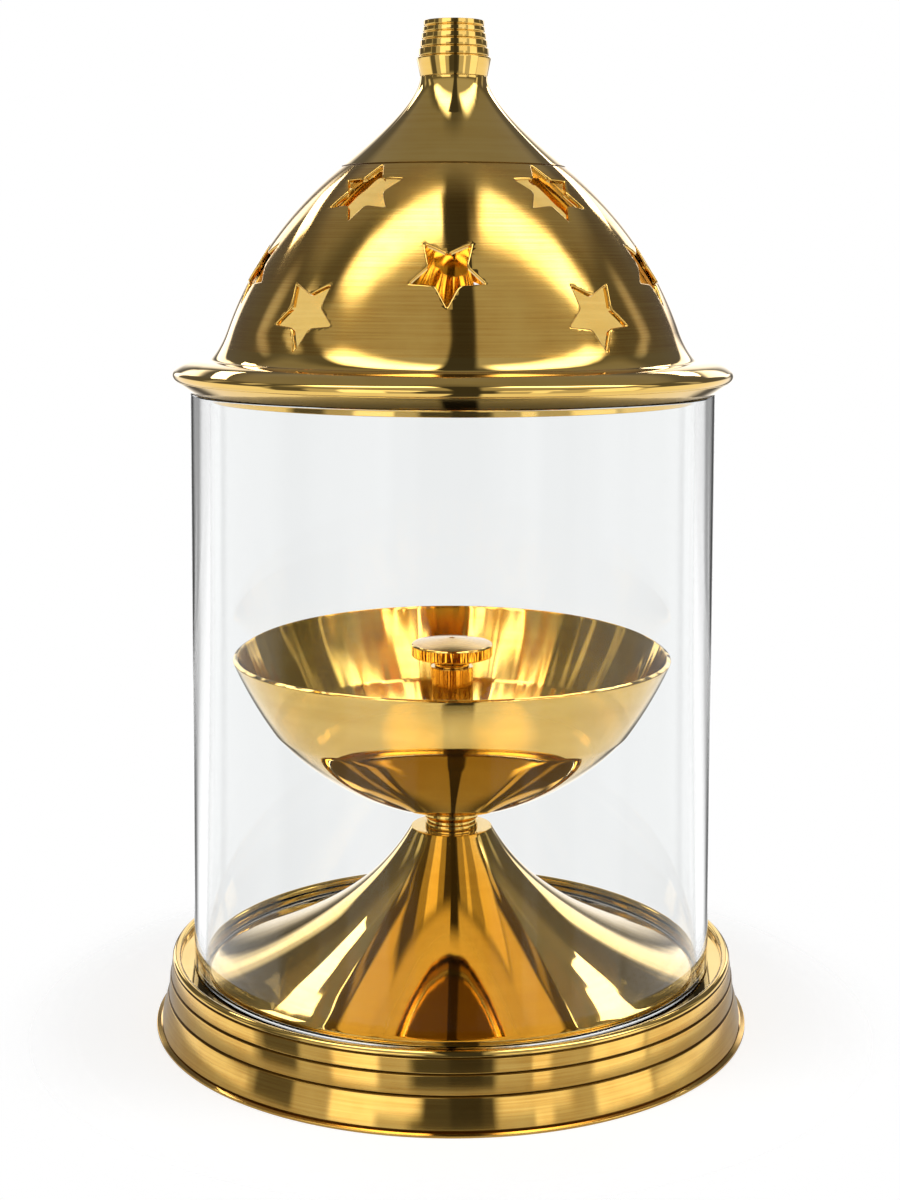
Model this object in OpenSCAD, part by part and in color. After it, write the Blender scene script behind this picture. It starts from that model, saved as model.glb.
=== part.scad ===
// Akhand diya: a brass oil lamp with a pedestal bowl, a glass chimney and a pierced dome lid.
// The lamp stands on z = 0, its axis is the Z axis and its front faces -Y. Sizes are in millimetres.

/* [Glass chimney] */
// Outer diameter of the glass
glass_d = 100; // [90:1:110]
// Wall of the glass
glass_wall = 3.2; // [2.6:0.1:4]
// Height of the glass
glass_h = 110; // [95:1:130]
// Rounding of the fire-polished edges
glass_edge_r = 1; // [0.4:0.1:1.2]

/* [Base] */
// Height of the base up to the top of its rim bead
base_h = 13.6; // [12:0.1:18]
// Depth of the ledge below the top of the rim bead
rim_depth = 1.6; // [1.2:0.1:2.5]
// Width of the rim bead
bead_w = 1.7; // [1.2:0.1:2.2]
// Gap between the glass and the rim bead
ledge_gap = 2.5; // [1.5:0.1:4]
// Width of the ledge that carries the glass and the pedestal
ledge_w = 11.5; // [9:0.5:14]
// Wall of the base
base_wall = 1.6; // [1.2:0.1:2]
// Height of the upper band of the skirt
upper_band_h = 2.35; // [1.8:0.05:3]
// Height of the middle band of the skirt
middle_band_h = 3.2; // [2.4:0.1:4]
// Flare of the upper and middle bands
band_flare = 0.3; // [0.1:0.05:0.6]
// Flare of the lowest band
skirt_flare = 1.4; // [0.6:0.1:2.4]
// Outward step from one band to the next
band_step = 0.15; // [0.1:0.05:0.7]
// Height of the groove between two bands
groove_h = 0.4; // [0.2:0.05:0.6]
// Depth of the groove between two bands
groove_depth = 0.25; // [0.1:0.05:0.4]
// Height of the foot lip
lip_h = 0.45; // [0.4:0.05:1.2]
// Outward step of the foot lip
lip_step = 0.8; // [0.2:0.05:1]
// Width of the flat ring that the lamp stands on
foot_w = 3; // [2.6:0.1:5]

/* [Pedestal] */
// Height of the pedestal above the ledge
pedestal_h = 25.7; // [22:0.1:32]
// Radius of the flat top
pedestal_top_r = 7.8; // [7.4:0.1:10]
// Gap between the pedestal's foot and the glass
pedestal_gap = 0.9; // [0.5:0.1:2]
// Sheet thickness of the pedestal
pedestal_sheet = 1; // [0.8:0.1:1.2]
// Edge height of the pedestal's foot
pedestal_edge = 0.5; // [0.3:0.1:0.8]
// Reach of the trumpet curve's corner, outward from the flat top
trumpet_out = 9.5; // [7:0.5:13]
// Height of the trumpet curve's corner above the ledge
trumpet_up = 9.2; // [7:0.2:12]

/* [Bowl screw] */
// Diameter of the screw shank under the wick post
screw_d = 6; // [5:0.5:7]
// Radial clearance of the shank in its holes
screw_clearance = 0.05; // [0.02:0.01:0.1]
// Length of shank that shows below the nut
screw_tail = 0.8; // [0.4:0.1:2]
// Wall of the pedestal nut at its flats
nut_wall = 2; // [1.6:0.1:2.2]
// Height of the pedestal nut
nut_h = 5; // [4:0.1:6]
// Radius of the loose washer on the pedestal
washer_r = 5.1; // [4.6:0.1:6]
// Thickness of the loose washer
washer_t = 0.9; // [0.6:0.1:1.4]
// Radius of the foot ring's bead
foot_ring_r = 5.4; // [5:0.1:6]
// Height of the foot ring
foot_ring_h = 2.5; // [2:0.1:4]
// Radius of the foot ring's neck
foot_neck_r = 4.85; // [4.4:0.05:5.2]
// Height of the foot ring's neck
foot_neck_h = 0.7; // [0.4:0.1:1.2]

/* [Oil bowl] */
// Gap between the bowl's rim and the glass
bowl_gap = 4.4; // [3:0.1:8]
// Depth of the bowl from its rim to its underside
bowl_depth = 29.55; // [26:0.05:36]
// Sheet thickness of the bowl
bowl_sheet = 0.9; // [0.7:0.05:1.2]
// Height of the upper band, from the crease to the rim
bowl_band_h = 13.7; // [10:0.1:17]
// Lean of the upper band, from the crease out to the rim
bowl_band_lean = 7.6; // [5:0.1:10]
// Bulge of the upper band
bowl_band_bulge = 0.4; // [0.2:0.05:0.8]
// Bulge of the bowl below the crease
bowl_bulge = 2.7; // [2:0.1:3.6]
// Radius of the bowl's flat bottom
bowl_floor_r = 6.4; // [6.1:0.1:9]

/* [Wick holder] */
// Radius of the wick post
post_r = 4.15; // [4:0.05:5]
// Height of the wick post above its sealing washer
post_h = 25.5; // [20:0.1:30]
// Radius of the sealing washer under the wick post
seal_r = 5.2; // [5.1:0.1:5.8]
// Thickness of the sealing washer
seal_t = 0.6; // [0.4:0.1:1]
// Diameter of the oil ports at the foot of the post
oil_port_d = 2.4; // [1.6:0.1:3]
// Height of the oil ports above the sealing washer
oil_port_up = 3; // [2:0.1:6]
// Radius of the wick cap
cap_r = 7.95; // [7:0.05:10]
// Height of the wick cap's edge
cap_edge_h = 2.4; // [1.6:0.1:3.5]
// Rise of the wick cap's cone above its edge
cap_rise = 1.05; // [0.6:0.05:2]
// Chamfer on the wick cap's edges
cap_chamfer = 0.25; // [0.1:0.05:0.4]
// Height of the neck and the cone under the wick cap
cap_neck_h = 1.9; // [1.5:0.1:3]
// Height of the cone under the wick cap
cap_cone_h = 1.2; // [0.4:0.1:1.4]
// Radius of the neck under the wick cap
cap_neck_r = 3.4; // [3.1:0.1:4]
// Radius of the cap's spigot in the post
spigot_r = 2.2; // [1.8:0.05:2.4]
// Length of the cap's spigot in the post
spigot_h = 6; // [4:0.5:9]
// Radial clearance of the spigot in the post
spigot_clearance = 0.05; // [0.02:0.01:0.1]
// Diameter of the wick passage through the cap
wick_bore_d = 2; // [1.4:0.1:2.6]
// Diameter of the wick hole at the tip of the cap
wick_hole_d = 1; // [0.6:0.1:1.3]

/* [Lid rim] */
// Sheet thickness of the lid
lid_sheet = 0.9; // [0.7:0.05:1.1]
// Overhang of the rim's nose past the glass
lid_overhang = 3.4; // [2.8:0.1:5]
// Height of the nose above the glass
nose_up = 3.25; // [2.9:0.05:3.8]
// Outer rounding of the nose
nose_r = 1.25; // [1.15:0.05:1.5]
// Angle above level at which the rounding of the nose starts
nose_turn = 50; // [40:1:60]
// Height of the flange above the glass
flange_up = 6.15; // [5.8:0.05:7]
// Radial clearance of the locating collar in the glass
collar_clearance = 0.5; // [0.3:0.05:1]
// Depth of the locating collar inside the glass
collar_depth = 1.5; // [1:0.1:6]

/* [Lid dome] */
// Inset of the dome's foot from the glass's outside
dome_foot_in = 6.95; // [6.5:0.05:8]
// Height of the dome's foot above the glass
dome_foot_up = 11.7; // [10:0.1:14]
// Outward kick of the sheet from the dome's foot to the flange
dome_kick = 3.45; // [2.8:0.05:4]
// Run of the kick's curve along the dome's tangent
kick_pull = 3.5; // [2.5:0.1:4.5]
// Fillet between the kick and the flange
kick_fillet = 0.5; // [0.3:0.1:1]
// Radius of the dome at the crown seam
dome_top_r = 21.5; // [18:0.1:25]
// Height of the crown seam above the glass
dome_top_up = 42.4; // [38:0.1:48]
// Bulge of the dome between its foot and the seam
dome_bulge = 2.6; // [1.5:0.1:4]
// Length of the dome's lip inside the crown
register_h = 2; // [1:0.1:3]

/* [Stars] */
// Stars in each of the three rows
stars_per_row = 5; // [4:1:6]
// Tip radius of the five-pointed stars
star_r = 6.9; // [5:0.1:7.2]
// Valley radius of the five-pointed stars
star_valley_r = 3.4; // [2.4:0.1:4]
// Tip radius of the six-pointed stars in the upper row
six_star_r = 7.2; // [5:0.1:7.4]
// Valley radius of the six-pointed stars
six_star_valley_r = 3.9; // [2.6:0.1:4.4]
// Rounding of the star tips
star_tip_round = 0.4; // [0.2:0.05:0.6]
// Height of the lower row above the glass
low_row_up = 15.7; // [14.5:0.1:17]
// Height of the middle row above the glass
middle_row_up = 23.1; // [20:0.1:26]
// Distance from the upper stars' top tips to the seam
upper_row_gap = 0.4; // [0.4:0.1:4]
// Bearing of the lower row's first star, from the front to the right
low_row_start = 37.6; // [30:0.1:45]
// Bearing of the middle row's first star
middle_row_start = -1.5; // [-5:0.1:5]
// Bearing of the upper row's first star
upper_row_start = 40.5; // [30:0.1:45]
// Excess of the lower and upper rows' pitch over an even one, as they were stepped off by hand
pitch_excess = 4.6; // [0:0.1:6]

/* [Crown and vent] */
// Height of the crown from the seam to its neck
crown_h = 17.1; // [14:0.1:22]
// Radius of the crown's neck
neck_r = 6.4; // [6:0.1:8]
// Chamfer that draws the seam line on the crown
seam_chamfer = 0.25; // [0.1:0.05:0.4]
// Run of the crown's curve along the dome's tangent
crown_foot_pull = 9.8; // [7:0.1:13]
// Run of the crown's curve down from the neck
crown_neck_pull = 4.25; // [3:0.05:7]
// Flare of the vent's collar past the neck
vent_flare = 0.65; // [0.4:0.05:2]
// Height of the vent's collar above the neck
vent_collar_up = 3.5; // [2.5:0.1:5]
// Edge height of the vent's collar
vent_collar_edge = 0.3; // [0.2:0.05:0.6]
// Radius of the vent's bore
vent_bore_r = 4.2; // [3.4:0.1:4.5]
// Wall of the vent at its mouth
vent_wall = 1.55; // [1.1:0.05:1.8]
// Step of the lowest ring past the neck
vent_root_step = 0.25; // [0:0.05:0.35]
// Rings turned on the vent
vent_rings = 5; // [3:1:8]
// Height of the top ring
ring_h = 1.05; // [0.7:0.05:1.6]
// Growth of ring height from each ring to the next one down
ring_growth = 1.125; // [1:0.005:1.2]
// Power by which the rings widen on the way down
ring_taper = 1.35; // [0.8:0.05:2]
// Depth of the groove between two rings
ring_groove = 0.2; // [0.1:0.05:0.3]
// Length of the vent's spigot in the crown's neck
vent_spigot_h = 3; // [2:0.1:4]

/* [Hidden] */
$fn = 96;

// Clearances: under a piece that lifts or turns, and where two sheets are brazed
seat_gap = 0.02;
braze_gap = 0.05;
// How far a cutter runs past the face that it cuts
overcut = 1;
// Points along a long curve, a short curve and a star's tip
long_steps = 20;
short_steps = 8;
tip_steps = 4;
// Share of the way to its corner that a curve's handles reach: on a plain bend and on a full one
plain_bend = 2 / 3;
full_bend = 0.85;

// Colours
polished_brass = "#d2a63c";
brushed_brass = "#b8923a";
steel_grey = "#9a9a96";
fibre_red = "#7a3b2a";
clear_glass = [0.86, 0.91, 0.93, 0.35];

// Glass
glass_r = glass_d / 2;
glass_bore_r = glass_r - glass_wall;

// Base: the skirt's bands from the rim bead down to the foot lip
ledge_z = base_h - rim_depth;
bead_r = bead_w / 2;
bead_z = base_h - bead_r;
rim_in_r = glass_r + ledge_gap;
rim_r = rim_in_r + bead_w;
ledge_in_r = rim_in_r - ledge_w;
upper_band_top = bead_z - groove_h;
middle_band_top = upper_band_top - upper_band_h - groove_h;
lower_band_top = middle_band_top - middle_band_h - groove_h;
lower_band_foot = lip_h + groove_h;
upper_foot_r = rim_r + band_flare;
middle_top_r = upper_foot_r + band_step;
middle_foot_r = middle_top_r + band_flare;
lower_top_r = middle_foot_r + band_step;
lower_foot_r = lower_top_r + skirt_flare;
lip_r = lower_foot_r + lip_step;

// Pedestal and the screw stack above it
pedestal_z = ledge_z + pedestal_h;
pedestal_foot_r = glass_bore_r - pedestal_gap;
screw_r = screw_d / 2;
screw_hole_r = screw_r + screw_clearance;
nut_corner_r = (screw_r + nut_wall) / cos(30);
nut_top_z = pedestal_z - pedestal_sheet;
nut_z = nut_top_z - nut_h;
washer_z = pedestal_z + seat_gap;
foot_ring_z = washer_z + washer_t + seat_gap;
bowl_z = foot_ring_z + foot_ring_h;
bowl_floor_z = bowl_z + bowl_sheet;
seal_z = bowl_floor_z + seal_t;
post_top_z = seal_z + post_h;
screw_tip_z = nut_z - screw_tail;

// Bowl
bowl_rim_r = glass_bore_r - bowl_gap;
bowl_rim_z = bowl_z + bowl_depth;
bowl_crease = [bowl_rim_r - bowl_band_lean, bowl_rim_z - bowl_band_h];

// Wick cap
cap_seat_z = post_top_z + seat_gap;
cap_under_z = cap_seat_z + cap_neck_h;
cap_top_z = cap_under_z + cap_edge_h;
post_bore_r = spigot_r + spigot_clearance;

// Lid rim, from the seat on the glass out to the nose
lid_z = ledge_z + seat_gap + glass_h + seat_gap;
collar_r = glass_bore_r - collar_clearance;
seat_edge = [glass_r, lid_z];
nose_centre = [glass_r + lid_overhang - nose_r, lid_z + nose_up];
nose_away = nose_centre - seat_edge;
slant = atan2(nose_away[1], nose_away[0]) - asin(nose_r / norm(nose_away));
nose_end = nose_centre + nose_r * heading(slant - 90);

// Lid dome, and the directions square to its sheet and along it at its top and its foot
dome_foot = [glass_r - dome_foot_in, lid_z + dome_foot_up];
dome_top = [dome_top_r, lid_z + dome_top_up];
dome_centre = arc_centre(dome_top, dome_foot, dome_bulge);
dome_radius = norm(dome_top - dome_centre);
dome_top_out = (dome_top - dome_centre) / dome_radius;
dome_top_along = turned(dome_top_out);
dome_foot_along = turned(dome_foot - dome_centre) / dome_radius;
flange_in = [dome_foot[0] + dome_kick, lid_z + flange_up];

// Angles of the star rows about the dome's centre of curvature
even_pitch = 360 / stars_per_row;
wide_pitch = even_pitch + pitch_excess;
low_row_angle = asin((lid_z + low_row_up - dome_centre[1]) / dome_radius);
middle_row_angle = asin((lid_z + middle_row_up - dome_centre[1]) / dome_radius);
upper_row_angle = atan2(dome_top_out[1], dome_top_out[0])
    - atan2(six_star_r + upper_row_gap, dome_radius);

// Crown and vent
crown_foot = dome_top + braze_gap * dome_top_along;
crown_neck = [neck_r, dome_top[1] + crown_h];
vent_z = crown_neck[1] + braze_gap;
vent_spigot_r = neck_r - lid_sheet - braze_gap;
vent_rings_z = vent_z + vent_collar_up + ring_groove;
vent_top_z = vent_rings_z + ring_depth(vent_rings);

// Directions and lists

// The direction at an angle from level
function heading(angle) = [cos(angle), sin(angle)];

// A vector turned a quarter turn to the left
function turned(v) = [-v[1], v[0]];

// A list back to front
function backwards(list) = [for (i = [len(list) - 1:-1:0]) list[i]];

// A list without its first item
function without_first(list) = [for (i = [1:len(list) - 1]) list[i]];

// Curves

// Centre of the arc from p to q that stands out by bulge on the left of the way from p to q
function arc_centre(p, q, bulge) =
    let (half = norm(q - p) / 2, radius = (half * half + bulge * bulge) / (2 * bulge))
    (p + q) / 2 + turned(q - p) / (2 * half) * (bulge - radius);

// Points on the circle about a centre, from one angle to another
function round_points(centre, radius, from, to, steps) =
    [for (i = [0:steps]) centre + radius * heading(from + (to - from) * i / steps)];

// Points along the arc from p to q that stands out by bulge on the left
function arc_points(p, q, bulge, steps) =
    let (centre = arc_centre(p, q, bulge), a = p - centre, b = q - centre,
         from = atan2(a[1], a[0]), sweep = (atan2(b[1], b[0]) - from + 540) % 360 - 180)
    round_points(centre, norm(a), from, from + sweep, steps);

// Points along the curve from a to d that leaves a towards b and reaches d from c
function curve_points(a, b, c, d, steps) =
    [for (i = [0:steps]) let (t = i / steps, s = 1 - t)
        s * s * s * a + 3 * s * s * t * b + 3 * s * t * t * c + t * t * t * d];

// Points along the bend from a to d around a corner, with handles that reach a share of the way
function bend_points(a, corner, d, share, steps) =
    curve_points(a, a + share * (corner - a), d + share * (corner - d), d, steps);

// The direction of a path at one of its points
function direction(path, i) =
    i == 0 ? 4 * path[1] - path[2] - 3 * path[0] :
    i == len(path) - 1 ? -direction(backwards(path), 0) :
    path[i + 1] - path[i - 1];

// A path moved sideways, to its left for a positive distance
function beside(path, distance) =
    [for (i = [0:len(path) - 1]) let (along = direction(path, i))
        path[i] + distance * turned(along) / norm(along)];

// A star's outline with rounded tips, one tip along +X
function star_outline(tips, tip_r, valley_r) =
    let (step = 360 / tips, half_tip = atan2(valley_r * sin(step / 2), tip_r - valley_r * cos(step / 2)),
         round_r = tip_r - star_tip_round / sin(half_tip), spread = 90 - half_tip)
    [for (i = [0:tips - 1], k = [0:tip_steps + 1])
        k > tip_steps
            ? valley_r * heading((i + 0.5) * step)
            : round_r * heading(i * step)
              + star_tip_round * heading(i * step + spread * (2 * k / tip_steps - 1))];

// Total height of the vent's first rings, from its mouth down
function ring_depth(count) =
    count == 0 ? 0 : ring_depth(count - 1) + ring_h * pow(ring_growth, count - 1);

// Radius of one of the vent's rings, counted from its mouth
function ring_r(i) =
    let (mouth_r = vent_bore_r + vent_wall, root_r = neck_r + vent_root_step)
    mouth_r + (root_r - mouth_r) * pow(i / (vent_rings - 1), ring_taper);

// Shared shapes

// A turned piece from its outline of radii and heights
module turned_piece(outline) {
    rotate_extrude() polygon(outline);
}

// A flat ring around the screw shank
module shank_ring(outer_r, bottom, thickness) {
    turned_piece([
        [screw_hole_r, bottom],
        [outer_r, bottom],
        [outer_r, bottom + thickness],
        [screw_hole_r, bottom + thickness]]);
}

// Base

// Stepped skirt with the rim bead, the ledge and the flat foot ring, spun and turned in one piece
module base_skirt() {
    bead = round_points([rim_r - bead_r, bead_z], bead_r, 180, 0, short_steps);
    bands = [
        [rim_r - groove_depth, upper_band_top + groove_h / 2],
        [rim_r, upper_band_top],
        [upper_foot_r, upper_band_top - upper_band_h],
        [upper_foot_r - groove_depth, middle_band_top + groove_h / 2],
        [middle_top_r, middle_band_top],
        [middle_foot_r, middle_band_top - middle_band_h],
        [middle_foot_r - groove_depth, lower_band_top + groove_h / 2],
        [lower_top_r, lower_band_top],
        [lower_foot_r, lower_band_foot],
        [lower_foot_r - groove_depth, lip_h + groove_h / 2]];
    foot = [
        [lip_r, lip_h],
        [lip_r, 0],
        [lip_r - foot_w, 0],
        [lip_r - foot_w, lip_h]];
    inside = [
        [lower_foot_r - base_wall, lip_h],
        [rim_r - base_wall, ledge_z - base_wall],
        [ledge_in_r, ledge_z - base_wall],
        [ledge_in_r, ledge_z],
        [rim_in_r, ledge_z]];
    color(brushed_brass) turned_piece(concat(bead, bands, foot, inside));
}

// Trumpet-shaped sheet that stands on the ledge inside the glass and carries the bowl
module pedestal_cone() {
    under_top_z = pedestal_z - pedestal_sheet;
    flare = bend_points([pedestal_top_r, pedestal_z],
                        [pedestal_top_r + trumpet_out, ledge_z + trumpet_up],
                        [pedestal_foot_r, ledge_z + pedestal_edge], plain_bend, long_steps);
    inner = backwards(beside(flare, -pedestal_sheet));
    under = [for (p = inner) if (p[1] > ledge_z && p[1] < under_top_z) p];
    foot = [[pedestal_foot_r, ledge_z], [under[0][0], ledge_z]];
    top = [
        [inner[long_steps][0], under_top_z],
        [screw_hole_r, under_top_z],
        [screw_hole_r, pedestal_z]];
    color(polished_brass) turned_piece(concat(flare, foot, under, top));
}

// Hexagon nut brazed under the pedestal's flat top
module pedestal_nut() {
    color(steel_grey) difference() {
        translate([0, 0, nut_z])
            cylinder(r = nut_corner_r, h = nut_h, $fn = 6);
        translate([0, 0, nut_z - overcut])
            cylinder(r = screw_hole_r, h = nut_h + 2 * overcut);
    }
}

// Bowl

// Loose washer between the pedestal and the foot ring
module bowl_washer() {
    color(polished_brass) shank_ring(washer_r, washer_z, washer_t);
}

// Beaded round nut that clamps the bowl to the wick post
module foot_ring() {
    bead = arc_points([foot_neck_r, bowl_z], [foot_neck_r, foot_ring_z + foot_neck_h],
                      foot_ring_r - foot_neck_r, short_steps);
    stem = [
        [foot_neck_r, foot_ring_z],
        [screw_hole_r, foot_ring_z],
        [screw_hole_r, bowl_z]];
    color(polished_brass) turned_piece(concat(bead, stem));
}

// Spun bowl with a crease below its upper band and a flat bottom
module oil_bowl() {
    band = arc_points([bowl_rim_r, bowl_rim_z], bowl_crease, bowl_band_bulge, short_steps);
    lower = arc_points(bowl_crease, [bowl_floor_r, bowl_z], bowl_bulge, long_steps);
    outside = concat(band, without_first(lower));
    inside = [for (p = beside(outside, -bowl_sheet)) if (p[1] > bowl_floor_z) p];
    floor = [
        [screw_hole_r, bowl_z],
        [screw_hole_r, bowl_floor_z],
        [inside[len(inside) - 1][0], bowl_floor_z]];
    color(polished_brass) turned_piece(concat(outside, floor, backwards(inside)));
}

// Fibre washer that seals the hole in the bowl's floor
module sealing_washer() {
    color(fibre_red) shank_ring(seal_r, bowl_floor_z, seal_t);
}

// Turned post with a wick bore and oil ports, and the screw shank that holds the bowl
module wick_post() {
    port_z = seal_z + oil_port_up;
    bore_z = port_z - oil_port_d / 2;
    color(polished_brass) difference() {
        turned_piece([
            [0, screw_tip_z],
            [screw_r, screw_tip_z],
            [screw_r, seal_z],
            [post_r, seal_z],
            [post_r, post_top_z],
            [0, post_top_z]]);
        translate([0, 0, bore_z])
            cylinder(r = post_bore_r, h = post_top_z - bore_z + overcut);
        translate([0, 0, port_z])
            rotate([0, 90, 0])
                cylinder(d = oil_port_d, h = 2 * (post_r + overcut), center = true);
    }
}

// Lift-off cap with a conical top, a neck and a spigot, drilled for the wick
module wick_cap() {
    wick_bore_r = wick_bore_d / 2;
    wick_hole_r = wick_hole_d / 2;
    color(polished_brass) turned_piece([
        [wick_bore_r, cap_seat_z - spigot_h],
        [spigot_r, cap_seat_z - spigot_h],
        [spigot_r, cap_seat_z],
        [cap_neck_r, cap_seat_z],
        [cap_neck_r, cap_under_z - cap_cone_h],
        [cap_r - cap_chamfer, cap_under_z],
        [cap_r, cap_under_z + cap_chamfer],
        [cap_r, cap_top_z - cap_chamfer],
        [cap_r - cap_chamfer, cap_top_z],
        [wick_hole_r, cap_top_z + cap_rise],
        [wick_hole_r, cap_under_z],
        [wick_bore_r, cap_under_z]]);
}

// Glass

// Plain glass tube with fire-polished edges, standing on the ledge
module glass_chimney() {
    low = ledge_z + seat_gap + glass_edge_r;
    high = lid_z - seat_gap - glass_edge_r;
    inner = glass_bore_r + glass_edge_r;
    outer = glass_r - glass_edge_r;
    color(clear_glass) turned_piece(concat(
        round_points([inner, low], glass_edge_r, 180, 270, short_steps),
        round_points([outer, low], glass_edge_r, 270, 360, short_steps),
        round_points([outer, high], glass_edge_r, 0, 90, short_steps),
        round_points([inner, high], glass_edge_r, 90, 180, short_steps)));
}

// Lid

// Ring under the lid's rim: a slanted underside, the seat on the glass and the locating collar
module lid_collar() {
    slant_top = nose_end - braze_gap * heading(slant);
    slant_in = slant_top + lid_sheet * turned(heading(slant));
    seat_in_r = glass_r + lid_sheet * (1 - 1 / cos(slant)) / tan(slant);
    wall_top_z = flange_in[1] - lid_sheet - braze_gap;
    color(polished_brass) turned_piece([
        seat_edge,
        slant_top,
        slant_in,
        [seat_in_r, lid_z + lid_sheet],
        [collar_r, lid_z + lid_sheet],
        [collar_r, wall_top_z],
        [collar_r - lid_sheet, wall_top_z],
        [collar_r - lid_sheet, lid_z - collar_depth],
        [collar_r, lid_z - collar_depth],
        [collar_r, lid_z]]);
}

// The turn from a row's first star to another one; the last star halves the gap that is left
function star_turn(i, pitch) =
    i < stars_per_row - 1 ? -i * pitch : (360 - (stars_per_row - 2) * pitch) / 2;

// Cutters for one row of stars, square to the dome
module star_row(tips, tip_r, valley_r, row_angle, start, pitch) {
    centre = dome_centre + dome_radius * heading(row_angle);
    for (i = [0:stars_per_row - 1])
        rotate([0, 0, start + star_turn(i, pitch) - 90])
            translate([centre[0], 0, centre[1]])
                rotate([0, 90 - row_angle, 0])
                    linear_extrude(height = tip_r, center = true)
                        polygon(star_outline(tips, tip_r, valley_r));
}

// Spun dome with its flange, rolled nose and lip inside the crown, pierced by three rows of stars
module lid_dome() {
    nose_start = nose_centre + nose_r * heading(nose_turn);
    flange_corner = [nose_start[0] - (flange_in[1] - nose_start[1]) * tan(nose_turn), flange_in[1]];
    sweep = arc_points(dome_top, dome_foot, dome_bulge, long_steps);
    kick = curve_points(dome_foot, dome_foot - kick_pull * dome_foot_along,
                        flange_in - [kick_fillet, 0], flange_in, short_steps);
    flange = bend_points(flange_in, flange_corner, nose_start, full_bend, short_steps);
    nose = round_points(nose_centre, nose_r, nose_turn, slant - 90, short_steps);
    outside = concat(sweep, without_first(kick), without_first(flange), without_first(nose));
    inside = without_first(beside(outside, -lid_sheet));
    lip_foot = dome_top - (lid_sheet + braze_gap) * dome_top_out;
    lip_top = lip_foot + register_h * dome_top_along;
    lip = [
        lip_foot - lid_sheet * dome_top_out,
        lip_top - lid_sheet * dome_top_out,
        lip_top,
        lip_foot];
    color(brushed_brass) difference() {
        turned_piece(concat(outside, backwards(inside), lip));
        star_row(5, star_r, star_valley_r, low_row_angle, low_row_start, wide_pitch);
        star_row(5, star_r, star_valley_r, middle_row_angle, middle_row_start, even_pitch);
        star_row(6, six_star_r, six_star_valley_r, upper_row_angle, upper_row_start, wide_pitch);
    }
}

// Spun crown that sweeps from the seam up to the neck
module lid_crown() {
    sweep = curve_points(crown_foot, crown_foot + crown_foot_pull * dome_top_along,
                         crown_neck - [0, crown_neck_pull], crown_neck, long_steps);
    seam = [
        crown_foot - seam_chamfer * dome_top_out,
        crown_foot + seam_chamfer * dome_top_along];
    inside = backwards(beside(sweep, lid_sheet));
    color(polished_brass) turned_piece(concat(seam, without_first(sweep), inside));
}

// Turned vent with a collar and tapering rings, open right through
module vent_nozzle() {
    collar_z = vent_z + vent_collar_up;
    collar_out_r = neck_r + vent_flare;
    root = [
        [vent_bore_r, vent_z - vent_spigot_h],
        [vent_spigot_r, vent_z - vent_spigot_h],
        [vent_spigot_r, vent_z],
        [neck_r, vent_z],
        [collar_out_r, collar_z - vent_collar_edge],
        [collar_out_r, collar_z]];
    rings = [for (i = [vent_rings - 1:-1:0], k = [0:2])
        let (bottom = vent_top_z - ring_depth(i + 1), top = vent_top_z - ring_depth(i))
        k == 0 ? [ring_r(i) - ring_groove, bottom] :
        k == 1 ? [ring_r(i), bottom + ring_groove] : [ring_r(i), i > 0 ? top - ring_groove : top]];
    color(polished_brass) turned_piece(concat(root, rings, [[vent_bore_r, vent_top_z]]));
}

base_skirt();
pedestal_cone();
pedestal_nut();
bowl_washer();
foot_ring();
oil_bowl();
sealing_washer();
wick_post();
wick_cap();
glass_chimney();
lid_collar();
lid_dome();
lid_crown();
vent_nozzle();
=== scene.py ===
"""Looks of an akhand diya: a brass oil lamp with a glass chimney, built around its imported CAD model.

Sizes are in millimetres until a mesh is made. The lamp's axis is Z and its front faces -Y.
"""

import logging
import math
from collections.abc import Callable
from dataclasses import dataclass, field
from enum import Enum

import bpy
from bpy.types import Material, Node, NodeSocket, NodeTree, Object
from mathutils import Matrix, Vector


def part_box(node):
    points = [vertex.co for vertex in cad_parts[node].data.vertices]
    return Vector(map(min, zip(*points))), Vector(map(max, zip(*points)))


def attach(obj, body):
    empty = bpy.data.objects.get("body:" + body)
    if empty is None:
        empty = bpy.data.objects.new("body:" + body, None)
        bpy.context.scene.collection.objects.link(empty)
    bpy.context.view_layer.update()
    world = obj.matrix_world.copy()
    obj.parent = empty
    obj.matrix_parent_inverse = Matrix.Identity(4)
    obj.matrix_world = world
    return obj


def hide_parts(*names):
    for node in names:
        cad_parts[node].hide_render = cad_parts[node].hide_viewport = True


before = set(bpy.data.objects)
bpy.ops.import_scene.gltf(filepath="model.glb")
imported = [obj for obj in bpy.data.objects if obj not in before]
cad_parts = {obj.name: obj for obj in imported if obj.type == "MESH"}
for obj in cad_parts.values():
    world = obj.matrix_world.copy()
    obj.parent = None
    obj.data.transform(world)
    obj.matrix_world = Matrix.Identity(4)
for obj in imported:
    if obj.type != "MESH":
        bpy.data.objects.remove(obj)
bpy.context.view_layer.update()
LOG = logging.getLogger("akhand_diya")

MM = 0.001
# What a node's input is linked to: an output, or a node for its first output
Link = Node | NodeSocket
# Faces around a turned piece
TURNS = 216
# Corners of a turned outline are eased by about this much, as polishing leaves them
EASED_EDGE = 0.12
# Angle past which an outline has a corner and a mesh has a crease
CORNER = math.radians(20)
CREASE = math.radians(32)
# Share of an outline's side that the rounding of a corner takes up, at most
EASED_SHARE = 0.4
# Share of the way to a corner at which the handles of a plain bend lie
PLAIN_BEND = 2 / 3
# Points of a turned mesh that are nearer to each other than this become one
MERGE = 0.002
# Holes for the screw, in the pedestal, the bowl and the rings between them
SCREW_HOLE_R = 3.05


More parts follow.
